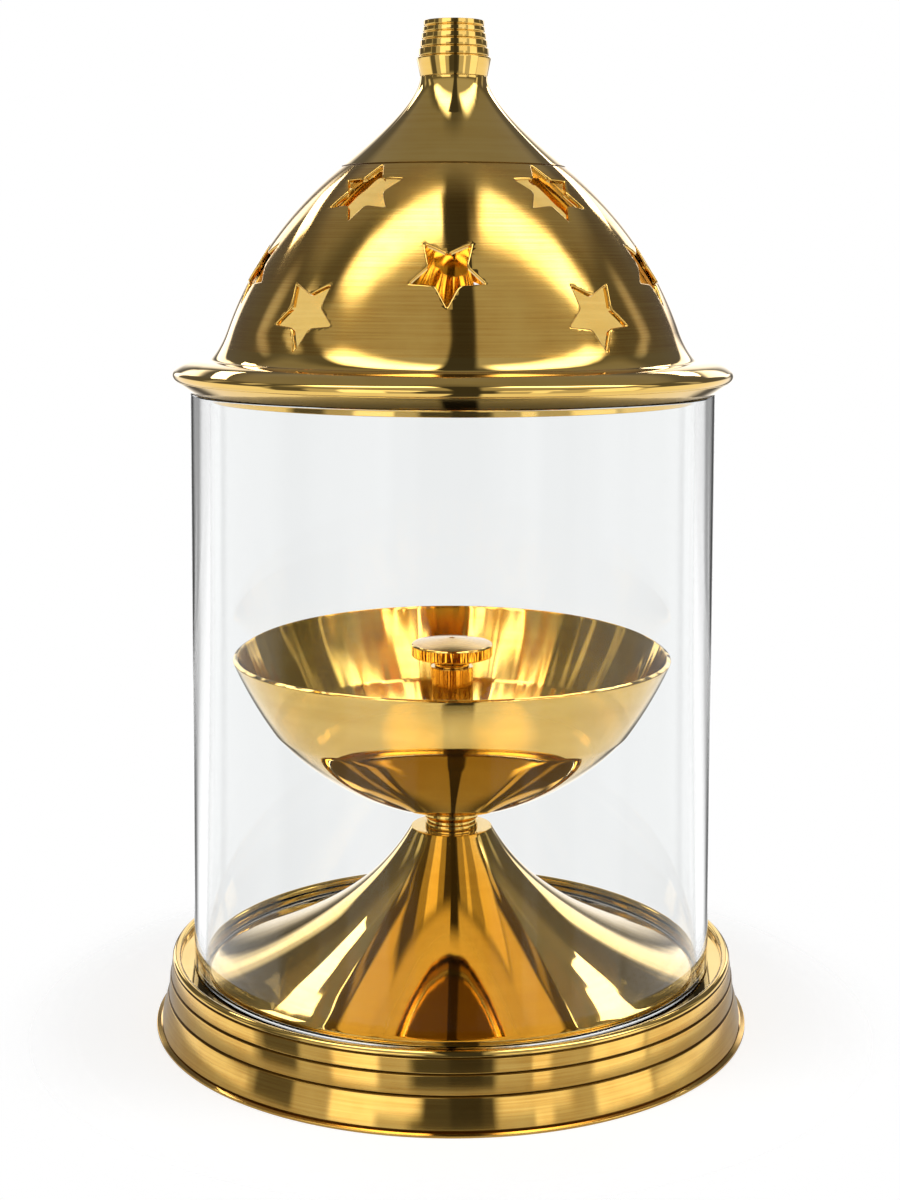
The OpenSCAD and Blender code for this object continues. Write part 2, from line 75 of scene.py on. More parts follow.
class Body(Enum):
    """Bodies of the CAD model that pieces ride on."""

    BASE = "base"
    WASHER = "washer"
    BOWL = "bowl"
    CAP = "cap"
    GLASS = "glass"
    LID = "lid"


class Slot(Enum):
    """Material slots of the record."""

    POLISHED_BRASS = "polished_brass"
    BRUSHED_BRASS = "brushed_brass"
    CLEAR_GLASS = "clear_glass"


@dataclass(frozen=True)
class Extent:
    """Outer radius and height span of a CAD node, in millimetres."""

    r: float
    low: float
    high: float


def extent(node: str) -> Extent:
    """Reads a CAD node's radius and heights from its box."""
    low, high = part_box(node)
    return Extent(max(high.x, high.y) / MM, low.z / MM, high.z / MM)


# Outlines: lists of points with a radius and a height


def at(r: float, z: float) -> Vector:
    """A point of an outline."""
    return Vector((r, z))


def heading(degrees: float) -> Vector:
    """The direction at an angle from level."""
    return at(math.cos(math.radians(degrees)), math.sin(math.radians(degrees)))


def turned(v: Vector) -> Vector:
    """A direction turned a quarter turn to the left."""
    return at(-v.y, v.x)


def arc_centre(start: Vector, end: Vector, bulge: float) -> Vector:
    """Finds the centre of an arc.

    Args:
        start: first point of the arc.
        end: last point of the arc.
        bulge: how far the arc stands out on the left of the way from start to end.

    Returns:
        The centre.
    """
    half = (end - start).length / 2
    radius = (half * half + bulge * bulge) / (2 * bulge)
    return (start + end) / 2 + turned(end - start) / (2 * half) * (bulge - radius)


def round_points(centre: Vector, radius: float, first: float, last: float, steps: int) -> list[Vector]:
    """Points on a circle, in even steps from the first angle to the last, both in degrees."""
    return [centre + radius * heading(first + (last - first) * i / steps) for i in range(steps + 1)]


def arc_points(start: Vector, end: Vector, bulge: float, steps: int) -> list[Vector]:
    """Points along an arc between two points.

    Args:
        start: first point.
        end: last point.
        bulge: how far the arc stands out on the left of the way.
        steps: number of steps.

    Returns:
        The points in order.
    """
    centre = arc_centre(start, end, bulge)
    first = math.degrees(math.atan2(start.y - centre.y, start.x - centre.x))
    last = math.degrees(math.atan2(end.y - centre.y, end.x - centre.x))
    sweep = (last - first + 540) % 360 - 180
    return round_points(centre, (start - centre).length, first, first + sweep, steps)


def curve_points(a: Vector, b: Vector, c: Vector, d: Vector, steps: int) -> list[Vector]:
    """Points along the curve that leaves a towards its handle b and reaches d from its handle c."""
    shares = [i / steps for i in range(steps + 1)]
    return [(1 - t) ** 3 * a + 3 * (1 - t) ** 2 * t * b + 3 * (1 - t) * t * t * c + t**3 * d for t in shares]


def bend_points(a: Vector, corner: Vector, d: Vector, share: float, steps: int) -> list[Vector]:
    """Points along a bend from a to d, with its handles at a share of the way to the corner."""
    return curve_points(a, a + share * (corner - a), d + share * (corner - d), d, steps)


def beside(path: list[Vector], distance: float) -> list[Vector]:
    """A path moved sideways.

    Args:
        path: the points to move.
        distance: how far, to the left of the path where positive.

    Returns:
        The moved points.
    """
    first = 4 * path[1] - path[2] - 3 * path[0]
    last = 3 * path[-1] + path[-3] - 4 * path[-2]
    ways = [first] + [b - a for a, b in zip(path, path[2:])] + [last]
    return [p + distance * turned(way).normalized() for p, way in zip(path, ways)]


def eased(outline: list[Vector], radius: float = EASED_EDGE, steps: int = 4) -> list[Vector]:
    """Rounds the corners of a closed outline and leaves its curves alone.

    Args:
        outline: points of the outline.
        radius: how far from a corner its rounding starts, at most.
        steps: number of steps in a rounding.

    Returns:
        The outline with rounded corners.
    """
    points = []
    for i, corner in enumerate(outline):
        back = outline[i - 1] - corner
        on = outline[(i + 1) % len(outline)] - corner
        if back.angle(-on) < CORNER:
            points.append(corner)
            continue
        start = corner + back.normalized() * min(radius, EASED_SHARE * back.length)
        end = corner + on.normalized() * min(radius, EASED_SHARE * on.length)
        points.extend(bend_points(start, corner, end, PLAIN_BEND, steps))
    return points


# Modelling


def activate(piece: Object) -> None:
    """Makes a piece the only selected one and the active one.

    Args:
        piece: the piece.
    """
    bpy.ops.object.select_all(action="DESELECT")
    piece.select_set(True)
    bpy.context.view_layer.objects.active = piece


def lathe(name: str, outline: list[Vector], closed: bool = True) -> Object:
    """Turns a piece: its outline is drawn point by point and spun about the lamp's axis.

    Args:
        name: name of the piece.
        outline: radii and heights in millimetres.
        closed: whether the outline runs back to its first point; an open one starts and ends on the axis.

    Returns:
        The turned piece.
    """
    path = outline + outline[:1] if closed else outline
    bpy.ops.object.select_all(action="DESELECT")
    bpy.ops.mesh.primitive_plane_add(size=MM)
    piece = bpy.context.active_object
    piece.name = name
    piece.data.name = name
    bpy.ops.object.mode_set(mode="EDIT")
    bpy.ops.mesh.select_all(action="SELECT")
    bpy.ops.mesh.merge(type="CENTER")
    bpy.ops.transform.translate(value=(path[0].x * MM, 0, path[0].y * MM))
    for start, end in zip(path, path[1:]):
        move = (end - start) * MM
        bpy.ops.mesh.extrude_vertices_move(TRANSFORM_OT_translate={"value": (move.x, 0, move.y)})
    bpy.ops.mesh.select_all(action="SELECT")
    bpy.ops.mesh.spin(steps=TURNS, angle=2 * math.pi, center=(0, 0, 0), axis=(0, 0, 1))
    bpy.ops.mesh.select_all(action="SELECT")
    bpy.ops.mesh.remove_doubles(threshold=MERGE * MM)
    bpy.ops.mesh.normals_make_consistent(inside=False)
    bpy.ops.object.mode_set(mode="OBJECT")
    bpy.ops.object.shade_smooth_by_angle(angle=CREASE)
    return piece


def cut(piece: Object, cutter: Object) -> None:
    """Cuts one piece with another and removes the cutter.

    Args:
        piece: the piece to cut.
        cutter: the solid that is taken away.
    """
    activate(piece)
    hole = piece.modifiers.new("cut", "BOOLEAN")
    hole.operation = "DIFFERENCE"
    hole.solver = "EXACT"
    hole.object = cutter
    bpy.ops.object.modifier_apply(modifier=hole.name)
    bpy.data.objects.remove(cutter)
    bpy.ops.object.shade_smooth_by_angle(angle=CREASE)
    normals = piece.modifiers.new("even shading", "WEIGHTED_NORMAL")
    normals.keep_sharp = True
    normals.weight = 80
    bpy.ops.object.modifier_apply(modifier=normals.name)


# Finishes


def colour(code: str) -> tuple[float, float, float, float]:
    """Turns an sRGB hex colour into a linear one.

    Args:
        code: six hex digits after a #.

    Returns:
        Red, green, blue and alpha.
    """
    parts = [int(code[i : i + 2], 16) / 255 for i in (1, 3, 5)]
    linear = [p / 12.92 if p <= 0.04045 else ((p + 0.055) / 1.055) ** 2.4 for p in parts]
    return (*linear, 1.0)


def add_node(tree: NodeTree, kind: str, inputs: dict | None = None, **settings) -> Node:
    """Adds a shader node with its settings, values and links.

    Args:
        tree: the node tree.
        kind: Blender's name for the kind of node, without ShaderNode.
        inputs: a value, an output, or a node for its first output, by an input's name or number.
        settings: properties of the node.

    Returns:
        The node.
    """
    node = tree.nodes.new(f"ShaderNode{kind}")
    for key, value in settings.items():
        setattr(node, key, value)
    for key, value in (inputs or {}).items():
        if isinstance(value, Node):
            value = value.outputs[0]
        if isinstance(value, NodeSocket):
            tree.links.new(value, node.inputs[key])
        else:
            node.inputs[key].default_value = value
    return node


def new_material(name: str) -> tuple[Material, NodeTree]:
    """Makes an empty node material.

    Args:
        name: name of the material.

    Returns:
        The material and its node tree.
    """
    material = bpy.data.materials.new(name)
    material.use_nodes = True
    material.node_tree.nodes.clear()
    return material, material.node_tree


def surface(tree: NodeTree, shader: Node) -> None:
    """Links a shader to the material's output."""
    add_node(tree, "OutputMaterial", {"Surface": shader})


@dataclass(frozen=True)
class Brass:
    """Lamp brass, about two thirds copper and one third zinc, spun or turned on a lathe and lacquered.

    Buffing gives a golden mirror. The tool and the abrasive leave fine rings around the axis, which draw
    highlights out across them. Handling leaves slightly warmer and duller patches a few millimetres wide.
    The clear lacquer adds a faint white gloss.
    """

    name: str
    bright: str
    warm: str
    roughness: float
    stretch: float
    ring_mm: float
    ring_depth_mm: float
    lacquer: float
    wave_slope: float
    waves_round: float = 7.0
    wave_h_mm: float = 30.0
    drift_mm: float = 25.0
    patch_mm: float = 9.0

    def material(self) -> Material:
        """Builds the node material.

        Returns:
            The material.
        """
        material, tree = new_material(self.name)
        place = add_node(tree, "TexCoord").outputs["Object"]
        patches = add_node(
            tree, "TexNoise", {"Vector": place, "Scale": 1 / (self.patch_mm * MM), "Detail": 3.0}
        )
        flat = add_node(tree, "VectorMath", {0: place, 1: (1, 1, 0)}, operation="MULTIPLY")
        radius = add_node(tree, "VectorMath", {0: flat}, operation="LENGTH")
        lines = self.rings(tree, place, flat, radius.outputs["Value"])
        waves = self.waves(tree, place, flat, radius.outputs["Value"])
        relief = add_node(
            tree, "Math", {0: lines, 1: self.ring_depth_mm * MM, 2: waves}, operation="MULTIPLY_ADD"
        )
        bump = add_node(tree, "Bump", {"Strength": 1.0, "Distance": 1.0, "Height": relief})
        worn = add_node(tree, "Math", {0: patches, 1: lines}, operation="MULTIPLY")
        share = add_node(tree, "MapRange", {"Value": worn, "From Min": 0.1, "From Max": 0.4})
        tint = add_node(
            tree,
            "Mix",
            {"Factor": share, "A": colour(self.bright), "B": colour(self.warm)},
            data_type="RGBA",
        )
        gloss = add_node(
            tree,
            "MapRange",
            {
                "Value": patches,
                "From Min": 0.3,
                "From Max": 0.7,
                "To Min": 0.8 * self.roughness,
                "To Max": 1.25 * self.roughness,
            },
        )
        around = add_node(tree, "Tangent", direction_type="RADIAL", axis="Z")
        shader = add_node(
            tree,
            "BsdfPrincipled",
            {
                "Base Color": tint.outputs["Result"],
                "Metallic": 1.0,
                "Roughness": gloss,
                "Anisotropic": self.stretch,
                "Anisotropic Rotation": 0.25,
                "Coat Weight": self.lacquer,
                "Coat Roughness": 0.04,
                "Normal": bump,
                "Tangent": around,
            },
        )
        surface(tree, shader)
        return material

    def waves(self, tree: NodeTree, place: Link, flat: Link, radius: Link) -> Link:
        """Adds the slight waves round the axis that buffing leaves, which break reflections into streaks.

        Args:
            tree: the material's node tree.
            place: object coordinates.
            flat: the same without their height.
            radius: distance from the axis.

        Returns:
            The height of the waves in metres, in step with the radius so that their slope stays even.
        """
        away = add_node(tree, "VectorMath", {0: flat}, operation="NORMALIZE")
        upward = add_node(tree, "VectorMath", {0: place, 1: (0, 0, 1)}, operation="MULTIPLY")
        stretched = add_node(
            tree, "VectorMath", {0: upward, "Scale": 1 / (self.wave_h_mm * MM)}, operation="SCALE"
        )
        spot = add_node(
            tree,
            "VectorMath",
            {0: away, 1: (self.waves_round,) * 3, 2: stretched},
            operation="MULTIPLY_ADD",
        )
        noise = add_node(tree, "TexNoise", {"Vector": spot, "Scale": 1.0, "Detail": 1.0})
        share = self.wave_slope / (math.pi * self.waves_round)
        reach = add_node(tree, "Math", {0: radius, 1: share}, operation="MULTIPLY")
        return add_node(tree, "Math", {0: noise, 1: reach}, operation="MULTIPLY")

    def rings(self, tree: NodeTree, place: Link, flat: Link, radius: Link) -> Link:
        """Adds the fine rings that the lathe leaves.

        Args:
            tree: the material's node tree.
            place: object coordinates.
            flat: the same without their height.
            radius: distance from the axis.

        Returns:
            The height of the rings, from 0 to 1.
        """
        apart = add_node(tree, "SeparateXYZ", {"Vector": place})
        along = add_node(tree, "Math", {0: apart.outputs["Z"], 1: radius}, operation="SUBTRACT")
        count = add_node(tree, "Math", {0: along, 1: 1 / (self.ring_mm * MM)}, operation="MULTIPLY")
        drift = add_node(
            tree, "VectorMath", {0: flat, "Scale": 1 / (self.drift_mm * MM)}, operation="SCALE"
        )
        apart_drift = add_node(tree, "SeparateXYZ", {"Vector": drift})
        lines = add_node(
            tree, "CombineXYZ", {"X": apart_drift.outputs["X"], "Y": apart_drift.outputs["Y"], "Z": count}
        )
        return add_node(tree, "TexNoise", {"Vector": lines, "Scale": 1.0, "Detail": 2.0})


@dataclass(frozen=True)
class Glass:
    """Drawn borosilicate tube: clear, with faint ripples down its length from the drawing.

    Its straight-on reflections are weakened, as a polarising filter does; the edges keep theirs.
    """

    name: str = "borosilicate glass tube"
    tint: str = "#f7f8f8"
    reflection_tint: str = "#848484"
    ripple_mm: float = 7.0
    ripple_length_mm: float = 250.0
    ripple_depth_mm: float = 0.004

    def material(self) -> Material:
        """Builds the node material.

        Returns:
            The material.
        """
        material, tree = new_material(self.name)
        place = add_node(tree, "TexCoord").outputs["Object"]
        around = 1 / (self.ripple_mm * MM)
        along = 1 / (self.ripple_length_mm * MM)
        drawn = add_node(tree, "Mapping", {"Vector": place, "Scale": (around, around, along)})
        ripple = add_node(tree, "TexNoise", {"Vector": drawn, "Scale": 1.0, "Detail": 1.0})
        bump = add_node(
            tree, "Bump", {"Strength": 1.0, "Distance": self.ripple_depth_mm * MM, "Height": ripple}
        )
        shader = add_node(
            tree,
            "BsdfPrincipled",
            {
                "Base Color": colour(self.tint),
                "Roughness": 0.0,
                "IOR": 1.47,
                "Specular Tint": colour(self.reflection_tint),
                "Transmission Weight": 1.0,
                "Normal": bump,
            },
        )
        surface(tree, shader)
        return material


@dataclass(frozen=True)
class Mottled:
    """A dull material with a fine mottle, such as tarnish with painted shade, plated steel or fibre board.
    """

    name: str
    light: str
    dark: str
    metallic: float
    roughness: float
    grain_mm: float

    def material(self) -> Material:
        """Builds the node material.

        Returns:
            The material.
        """
        material, tree = new_material(self.name)
        place = add_node(tree, "TexCoord").outputs["Object"]
        grain = add_node(
            tree, "TexNoise", {"Vector": place, "Scale": 1 / (self.grain_mm * MM), "Detail": 4.0}
        )
        tint = add_node(
            tree,
            "Mix",
            {"Factor": grain, "A": colour(self.light), "B": colour(self.dark)},
            data_type="RGBA",
        )
        bump = add_node(tree, "Bump", {"Strength": 0.3, "Distance": 0.02 * MM, "Height": grain})
        shader = add_node(
            tree,
            "BsdfPrincipled",
            {
                "Base Color": tint.outputs["Result"],
                "Metallic": self.metallic,
                "Roughness": self.roughness,
                "Normal": bump,
            },
        )
        surface(tree, shader)
        return material


@dataclass
class Finishes:
    """The lamp's materials."""

    # Buffed sheet: a mirror with hardly any rings left, whose slight waves draw streaks
    mirror: Material = field(
        default_factory=Brass(
            "mirror-polished brass",
            bright="#f0c96f",
            warm="#e8bd60",
            roughness=0.03,
            stretch=0.4,
            ring_mm=1.2,
            ring_depth_mm=0.0003,
            lacquer=0.3,
            wave_slope=0.04,
        ).material
    )
    # Lathe-brushed sheet: fine rings, which show as lines and pull highlights up and down; real rings are
    # finer, and these are drawn coarse enough to show
    brushed: Material = field(
        default_factory=Brass(
            "lathe-brushed brass",
            bright="#efc465",
            warm="#d9a548",
            roughness=0.09,
            stretch=0.97,
            ring_mm=0.45,
            ring_depth_mm=0.003,
            lacquer=0.35,
            wave_slope=0.03,
        ).material
    )
    # Sheet as it comes off the spinning lathe: softer than the mirror, streaked up and down by the roller
    spun: Material = field(
        default_factory=Brass(
            "as-spun brass",
            bright="#efc766",
            warm="#e2b453",
            roughness=0.1,
            stretch=0.97,
            ring_mm=0.6,
            ring_depth_mm=0.001,
            lacquer=0.2,
            wave_slope=0.3,
        ).material
    )
    # Tarnish in a groove that no buff reaches, with the shade that falls into the groove painted in: dull
    # brown brass, which draws a dark line
    tarnish_and_shade: Material = field(
        default_factory=Mottled(
            "tarnished brass", "#6b4a17", "#54380e", metallic=1.0, roughness=0.45, grain_mm=0.8
        ).material
    )
    glass: Material = field(default_factory=Glass().material)
    # Zinc plating on a rolled nut: dull silver with fine spangle
    steel: Material = field(
        default_factory=Mottled(
            "zinc-plated steel", "#b9bab6", "#a3a4a1", metallic=1.0, roughness=0.35, grain_mm=0.6
        ).material
    )
    # Vulcanised fibre: matt red-brown board with a paper grain
    fibre: Material = field(
        default_factory=Mottled(
            "vulcanised fibre", "#7f4230", "#6f3526", metallic=0.0, roughness=0.7, grain_mm=0.5
        ).material
    )


def paint(piece: Object, material: Material) -> None:
    """Gives all of a piece one material."""
    piece.data.materials.clear()
    piece.data.materials.append(material)


def paint_faces(piece: Object, material: Material, wanted: Callable[[Vector, Vector], bool]) -> None:
    """Gives some faces of a painted piece another material.

    Args:
        piece: the piece.
        material: the other material.
        wanted: says from a face's centre, in millimetres, and its normal whether it takes the material.
    """
    piece.data.materials.append(material)
    index = len(piece.data.materials) - 1
    for face in piece.data.polygons:
        if wanted(face.center / MM, face.normal):
            face.material_index = index


def outward(p: Vector, n: Vector) -> bool:
    """Whether a face at p with the normal n looks away from the axis."""
    return n.xy.dot(p.xy) > 0


# Sub-assemblies


@dataclass
class Assembly:
    """A group of pieces that are made and finished together."""

    pieces: dict[str, Object] = field(default_factory=dict, init=False)

    def turn(
        self, node: str, outline: list[Vector], body: Body, slot: Slot, edge: float = EASED_EDGE
    ) -> None:
        """Turns the plain piece that stands for a CAD node, with eased edges, and keeps it."""
        self.keep(lathe(f"{node}_dressed", eased(outline, edge)), body, slot)

    def keep(self, piece: Object, body: Body, slot: Slot) -> None:
        """Makes a piece stand for the CAD node of its name and ride on a body.

        Args:
            piece: the finished mesh, named as node name and _dressed.
            body: the body that it moves with.
            slot: the material slot; it is not used.
        """
        node = piece.name.removesuffix("_dressed")
        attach(piece, body.value)
        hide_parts(node)
        self.pieces[node] = piece


@dataclass
class Base(Assembly):
    """Stepped skirt and the trumpet pedestal on its ledge."""

    # Skirt, from the rim bead down
    rim_depth: float = 1.6
    bead_w: float = 1.7
    ledge_w: float = 11.5
    wall: float = 1.6
    upper_band_h: float = 2.35
    middle_band_h: float = 3.2
    band_flare: float = 0.3
    skirt_flare: float = 1.4
    band_step: float = 0.15
    groove_h: float = 0.4
    groove_depth: float = 0.25
    lip_h: float = 0.45
    lip_step: float = 0.8
    foot_w: float = 3.0
    # Pedestal
    pedestal_top_r: float = 7.8
    pedestal_sheet: float = 1.0
    pedestal_edge: float = 0.5
    trumpet_out: float = 9.5
    trumpet_up: float = 9.2
    # Reach of the brushed finish, and the steps of curves
    brushed_over_ledge: float = 0.6
    underside_facing: float = -0.5
    bead_steps: int = 16
    trumpet_steps: int = 56

    def build(self) -> None:
        """Turns the skirt and spins the pedestal."""
        self.turn("base_skirt", self.skirt_outline(), Body.BASE, Slot.BRUSHED_BRASS)
        self.turn("pedestal_cone", self.pedestal_outline(), Body.BASE, Slot.POLISHED_BRASS)

    def skirt_outline(self) -> list[Vector]:
        """Draws the outline of the skirt, from the rim bead down the bands and back up inside.

        Returns:
            The closed outline.
        """
        skirt = extent("base_skirt")
        lower_foot_r = skirt.r - self.lip_step
        lower_top_r = lower_foot_r - self.skirt_flare
        middle_foot_r = lower_top_r - self.band_step
        middle_top_r = middle_foot_r - self.band_flare
        upper_foot_r = middle_top_r - self.band_step
        rim_r = upper_foot_r - self.band_flare
        rim_in_r = rim_r - self.bead_w
        bead_r = self.bead_w / 2
        bead_z = skirt.high - bead_r
        ledge_z = skirt.high - self.rim_depth
        half_groove = self.groove_h / 2
        upper_top, middle_top, lower_top = self.band_tops()
        foot_in_r = skirt.r - self.foot_w
        return [
            *round_points(at(rim_r - bead_r, bead_z), bead_r, 180, 0, self.bead_steps),
            at(rim_r - self.groove_depth, upper_top + half_groove),
            at(rim_r, upper_top),
            at(upper_foot_r, upper_top - self.upper_band_h),
            at(upper_foot_r - self.groove_depth, middle_top + half_groove),
            at(middle_top_r, middle_top),
            at(middle_foot_r, middle_top - self.middle_band_h),
            at(middle_foot_r - self.groove_depth, lower_top + half_groove),
            at(lower_top_r, lower_top),
            at(lower_foot_r, self.lip_h + self.groove_h),
            at(lower_foot_r - self.groove_depth, self.lip_h + half_groove),
            at(skirt.r, self.lip_h),
            at(skirt.r, 0),
            at(foot_in_r, 0),
            at(foot_in_r, self.lip_h),
            at(lower_foot_r - self.wall, self.lip_h),
            at(rim_r - self.wall, ledge_z - self.wall),
            at(rim_in_r - self.ledge_w, ledge_z - self.wall),
            at(rim_in_r - self.ledge_w, ledge_z),
            at(rim_in_r, ledge_z),
        ]

    def band_tops(self) -> tuple[float, float, float]:
        """Works out where the skirt's bands start under their grooves.

        Returns:
            Heights of the tops of the upper, the middle and the lower band.
        """
        upper = extent("base_skirt").high - self.bead_w / 2 - self.groove_h
        middle = upper - self.upper_band_h - self.groove_h
        lower = middle - self.middle_band_h - self.groove_h
        return upper, middle, lower

    def groove_floors(self) -> list[float]:
        """Heights where the painted shade and tarnish of each groove start, from the rim bead down."""
        return [*self.band_tops(), self.lip_h + self.groove_h / 2]

    def pedestal_outline(self) -> list[Vector]:
        """Draws the outline of the pedestal: the trumpet's outside, its foot and its underside.

        Returns:
            The closed outline.
        """
        cone = extent("pedestal_cone")
        under_top = cone.high - self.pedestal_sheet
        flare = bend_points(
            at(self.pedestal_top_r, cone.high),
            at(self.pedestal_top_r + self.trumpet_out, cone.low + self.trumpet_up),
            at(cone.r, cone.low + self.pedestal_edge),
            PLAIN_BEND,
            self.trumpet_steps,
        )
        inner = beside(flare, -self.pedestal_sheet)[::-1]
        under = [p for p in inner if cone.low < p.y < under_top]
        return [
            *flare,
            at(cone.r, cone.low),
            at(under[0].x, cone.low),
            *under,
            at(inner[-1].x, under_top),
            at(SCREW_HOLE_R, under_top),
            at(SCREW_HOLE_R, cone.high),
        ]

    def dress(self, finishes: Finishes) -> None:
        """Brushes the skirt's bands, paints tarnish and shade into its grooves, polishes the rest and plates
        the hidden nut.

        Args:
            finishes: the lamp's materials.
        """
        skirt = self.pieces["base_skirt"]
        brushed_z = extent("base_skirt").high - self.rim_depth + self.brushed_over_ledge
        grooves = self.groove_floors()
        paint(skirt, finishes.mirror)
        paint_faces(
            skirt,
            finishes.brushed,
            lambda p, n: p.z < brushed_z and n.z > self.underside_facing and outward(p, n),
        )
        # Tarnish with painted shade on the groove faces, which draws each groove's dark line
        paint_faces(
            skirt,
            finishes.tarnish_and_shade,
            lambda p, n: outward(p, n) and any(0 < p.z - low < self.groove_h for low in grooves),
        )
        paint(self.pieces["pedestal_cone"], finishes.mirror)
        paint(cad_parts["pedestal_nut"], finishes.steel)


@dataclass
class Bowl(Assembly):
    """Oil bowl with the foot ring and washer of its screw."""

    sheet: float = 0.9
    band_h: float = 13.7
    band_lean: float = 7.6
    band_bulge: float = 0.4
    bulge: float = 2.7
    floor_r: float = 6.4
    neck_r: float = 4.85
    neck_h: float = 0.7
    band_steps: int = 24
    bulge_steps: int = 48
    bead_steps: int = 16
    inside_facing: float = 0.1

    def build(self) -> None:
        """Spins the bowl and turns the rings under it."""
        self.turn("oil_bowl", self.bowl_outline(), Body.BOWL, Slot.POLISHED_BRASS)
        self.turn("foot_ring", self.foot_outline(), Body.BOWL, Slot.POLISHED_BRASS)
        self.turn("bowl_washer", self.washer_outline(), Body.WASHER, Slot.POLISHED_BRASS)

    def bowl_outline(self) -> list[Vector]:
        """Draws the outline of the bowl: its outside from the rim down, its floor and its inside.

        Returns:
            The closed outline.
        """
        bowl = extent("oil_bowl")
        floor_z = bowl.low + self.sheet
        crease = at(bowl.r - self.band_lean, bowl.high - self.band_h)
        band = arc_points(at(bowl.r, bowl.high), crease, self.band_bulge, self.band_steps)
        lower = arc_points(crease, at(self.floor_r, bowl.low), self.bulge, self.bulge_steps)
        outside = band + lower[1:]
        inside = [p for p in beside(outside, -self.sheet) if p.y > floor_z]
        return [
            *outside,
            at(SCREW_HOLE_R, bowl.low),
            at(SCREW_HOLE_R, floor_z),
            at(inside[-1].x, floor_z),
            *inside[::-1],
        ]

    def foot_outline(self) -> list[Vector]:
        """Draws the outline of the beaded foot ring.

        Returns:
            The closed outline.
        """
        ring = extent("foot_ring")
        top = at(self.neck_r, ring.high)
        foot = at(self.neck_r, ring.low + self.neck_h)
        bead = arc_points(top, foot, ring.r - self.neck_r, self.bead_steps)
        return [*bead, at(self.neck_r, ring.low), at(SCREW_HOLE_R, ring.low), at(SCREW_HOLE_R, ring.high)]

    def washer_outline(self) -> list[Vector]:
        """Draws the outline of the loose washer.

        Returns:
            The closed outline.
        """
        washer = extent("bowl_washer")
        return [
            at(washer.r, washer.high),
            at(washer.r, washer.low),
            at(SCREW_HOLE_R, washer.low),
            at(SCREW_HOLE_R, washer.high),
        ]

    def dress(self, finishes: Finishes) -> None:
        """Polishes the brass outside, leaves the bowl as spun inside and the hidden seal in plain fibre.

        Args:
            finishes: the lamp's materials.
        """
        for piece in self.pieces.values():
            paint(piece, finishes.mirror)
        paint_faces(self.pieces["oil_bowl"], finishes.spun, lambda p, n: n.z > self.inside_facing)
        paint(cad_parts["sealing_washer"], finishes.fibre)


@dataclass
class WickHolder(Assembly):
    """Wick post with its screw shank, and the cap that lifts out of it."""

    screw_r: float = 3.0
    bore_r: float = 2.25
    port_r: float = 1.2
    port_up: float = 3.0
    edge_h: float = 2.4
    rise: float = 1.05
    chamfer: float = 0.25
    neck_h: float = 1.9
    cone_h: float = 1.2
    neck_r: float = 3.4
    spigot_r: float = 2.2
    wick_bore_r: float = 1.0
    wick_hole_r: float = 0.5
    port_sides: int = 48
    top_facing: float = 0.9

    def build(self) -> None:
        """Turns the post and the cap, and drills the oil ports."""
        post = lathe("wick_post_dressed", eased(self.post_outline()), closed=False)
        self.drill_ports(post)
        self.keep(post, Body.BOWL, Slot.POLISHED_BRASS)
        self.turn("wick_cap", self.cap_outline(), Body.CAP, Slot.POLISHED_BRASS)

    def shoulder_z(self) -> float:
        """Height of the post's shoulder on its sealing washer."""
        return extent("sealing_washer").high

    def post_outline(self) -> list[Vector]:
        """Draws the outline of the post, from the tip of its shank up and down into its bore.

        Returns:
            The closed outline.
        """
        post = extent("wick_post")
        bore_z = self.shoulder_z() + self.port_up - self.port_r
        return [
            at(0, post.low),
            at(self.screw_r, post.low),
            at(self.screw_r, self.shoulder_z()),
            at(post.r, self.shoulder_z()),
            at(post.r, post.high),
            at(self.bore_r, post.high),
            at(self.bore_r, bore_z),
            at(0, bore_z),
        ]

    def drill_ports(self, post: Object) -> None:
        """Drills the oil ports through the foot of the post.

        Args:
            post: the turned post.
        """
        bpy.ops.object.select_all(action="DESELECT")
        bpy.ops.mesh.primitive_cylinder_add(
            vertices=self.port_sides,
            radius=self.port_r * MM,
            depth=4 * extent("wick_post").r * MM,
            location=(0, 0, (self.shoulder_z() + self.port_up) * MM),
            rotation=(0, math.pi / 2, 0),
        )
        cut(post, bpy.context.active_object)

    def cap_outline(self) -> list[Vector]:
        """Draws the outline of the cap, from its spigot out to its edge and in to the wick hole.

        Returns:
            The closed outline.
        """
        cap = extent("wick_cap")
        top_z = cap.high - self.rise
        under_z = top_z - self.edge_h
        seat_z = under_z - self.neck_h
        return [
            at(self.wick_bore_r, cap.low),
            at(self.spigot_r, cap.low),
            at(self.spigot_r, seat_z),
            at(self.neck_r, seat_z),
            at(self.neck_r, under_z - self.cone_h),
            at(cap.r - self.chamfer, under_z),
            at(cap.r, under_z + self.chamfer),
            at(cap.r, top_z - self.chamfer),
            at(cap.r - self.chamfer, top_z),
            at(self.wick_hole_r, cap.high),
            at(self.wick_hole_r, under_z),
            at(self.wick_bore_r, under_z),
        ]

    def dress(self, finishes: Finishes) -> None:
        """Polishes both pieces and leaves the cap's top as the lathe left it.

        Args:
            finishes: the lamp's materials.
        """
        cap = self.pieces["wick_cap"]
        top_z = extent("wick_cap").high - self.rise
        paint(self.pieces["wick_post"], finishes.mirror)
        paint(cap, finishes.mirror)
        paint_faces(cap, finishes.brushed, lambda p, n: p.z > top_z and n.z > self.top_facing)


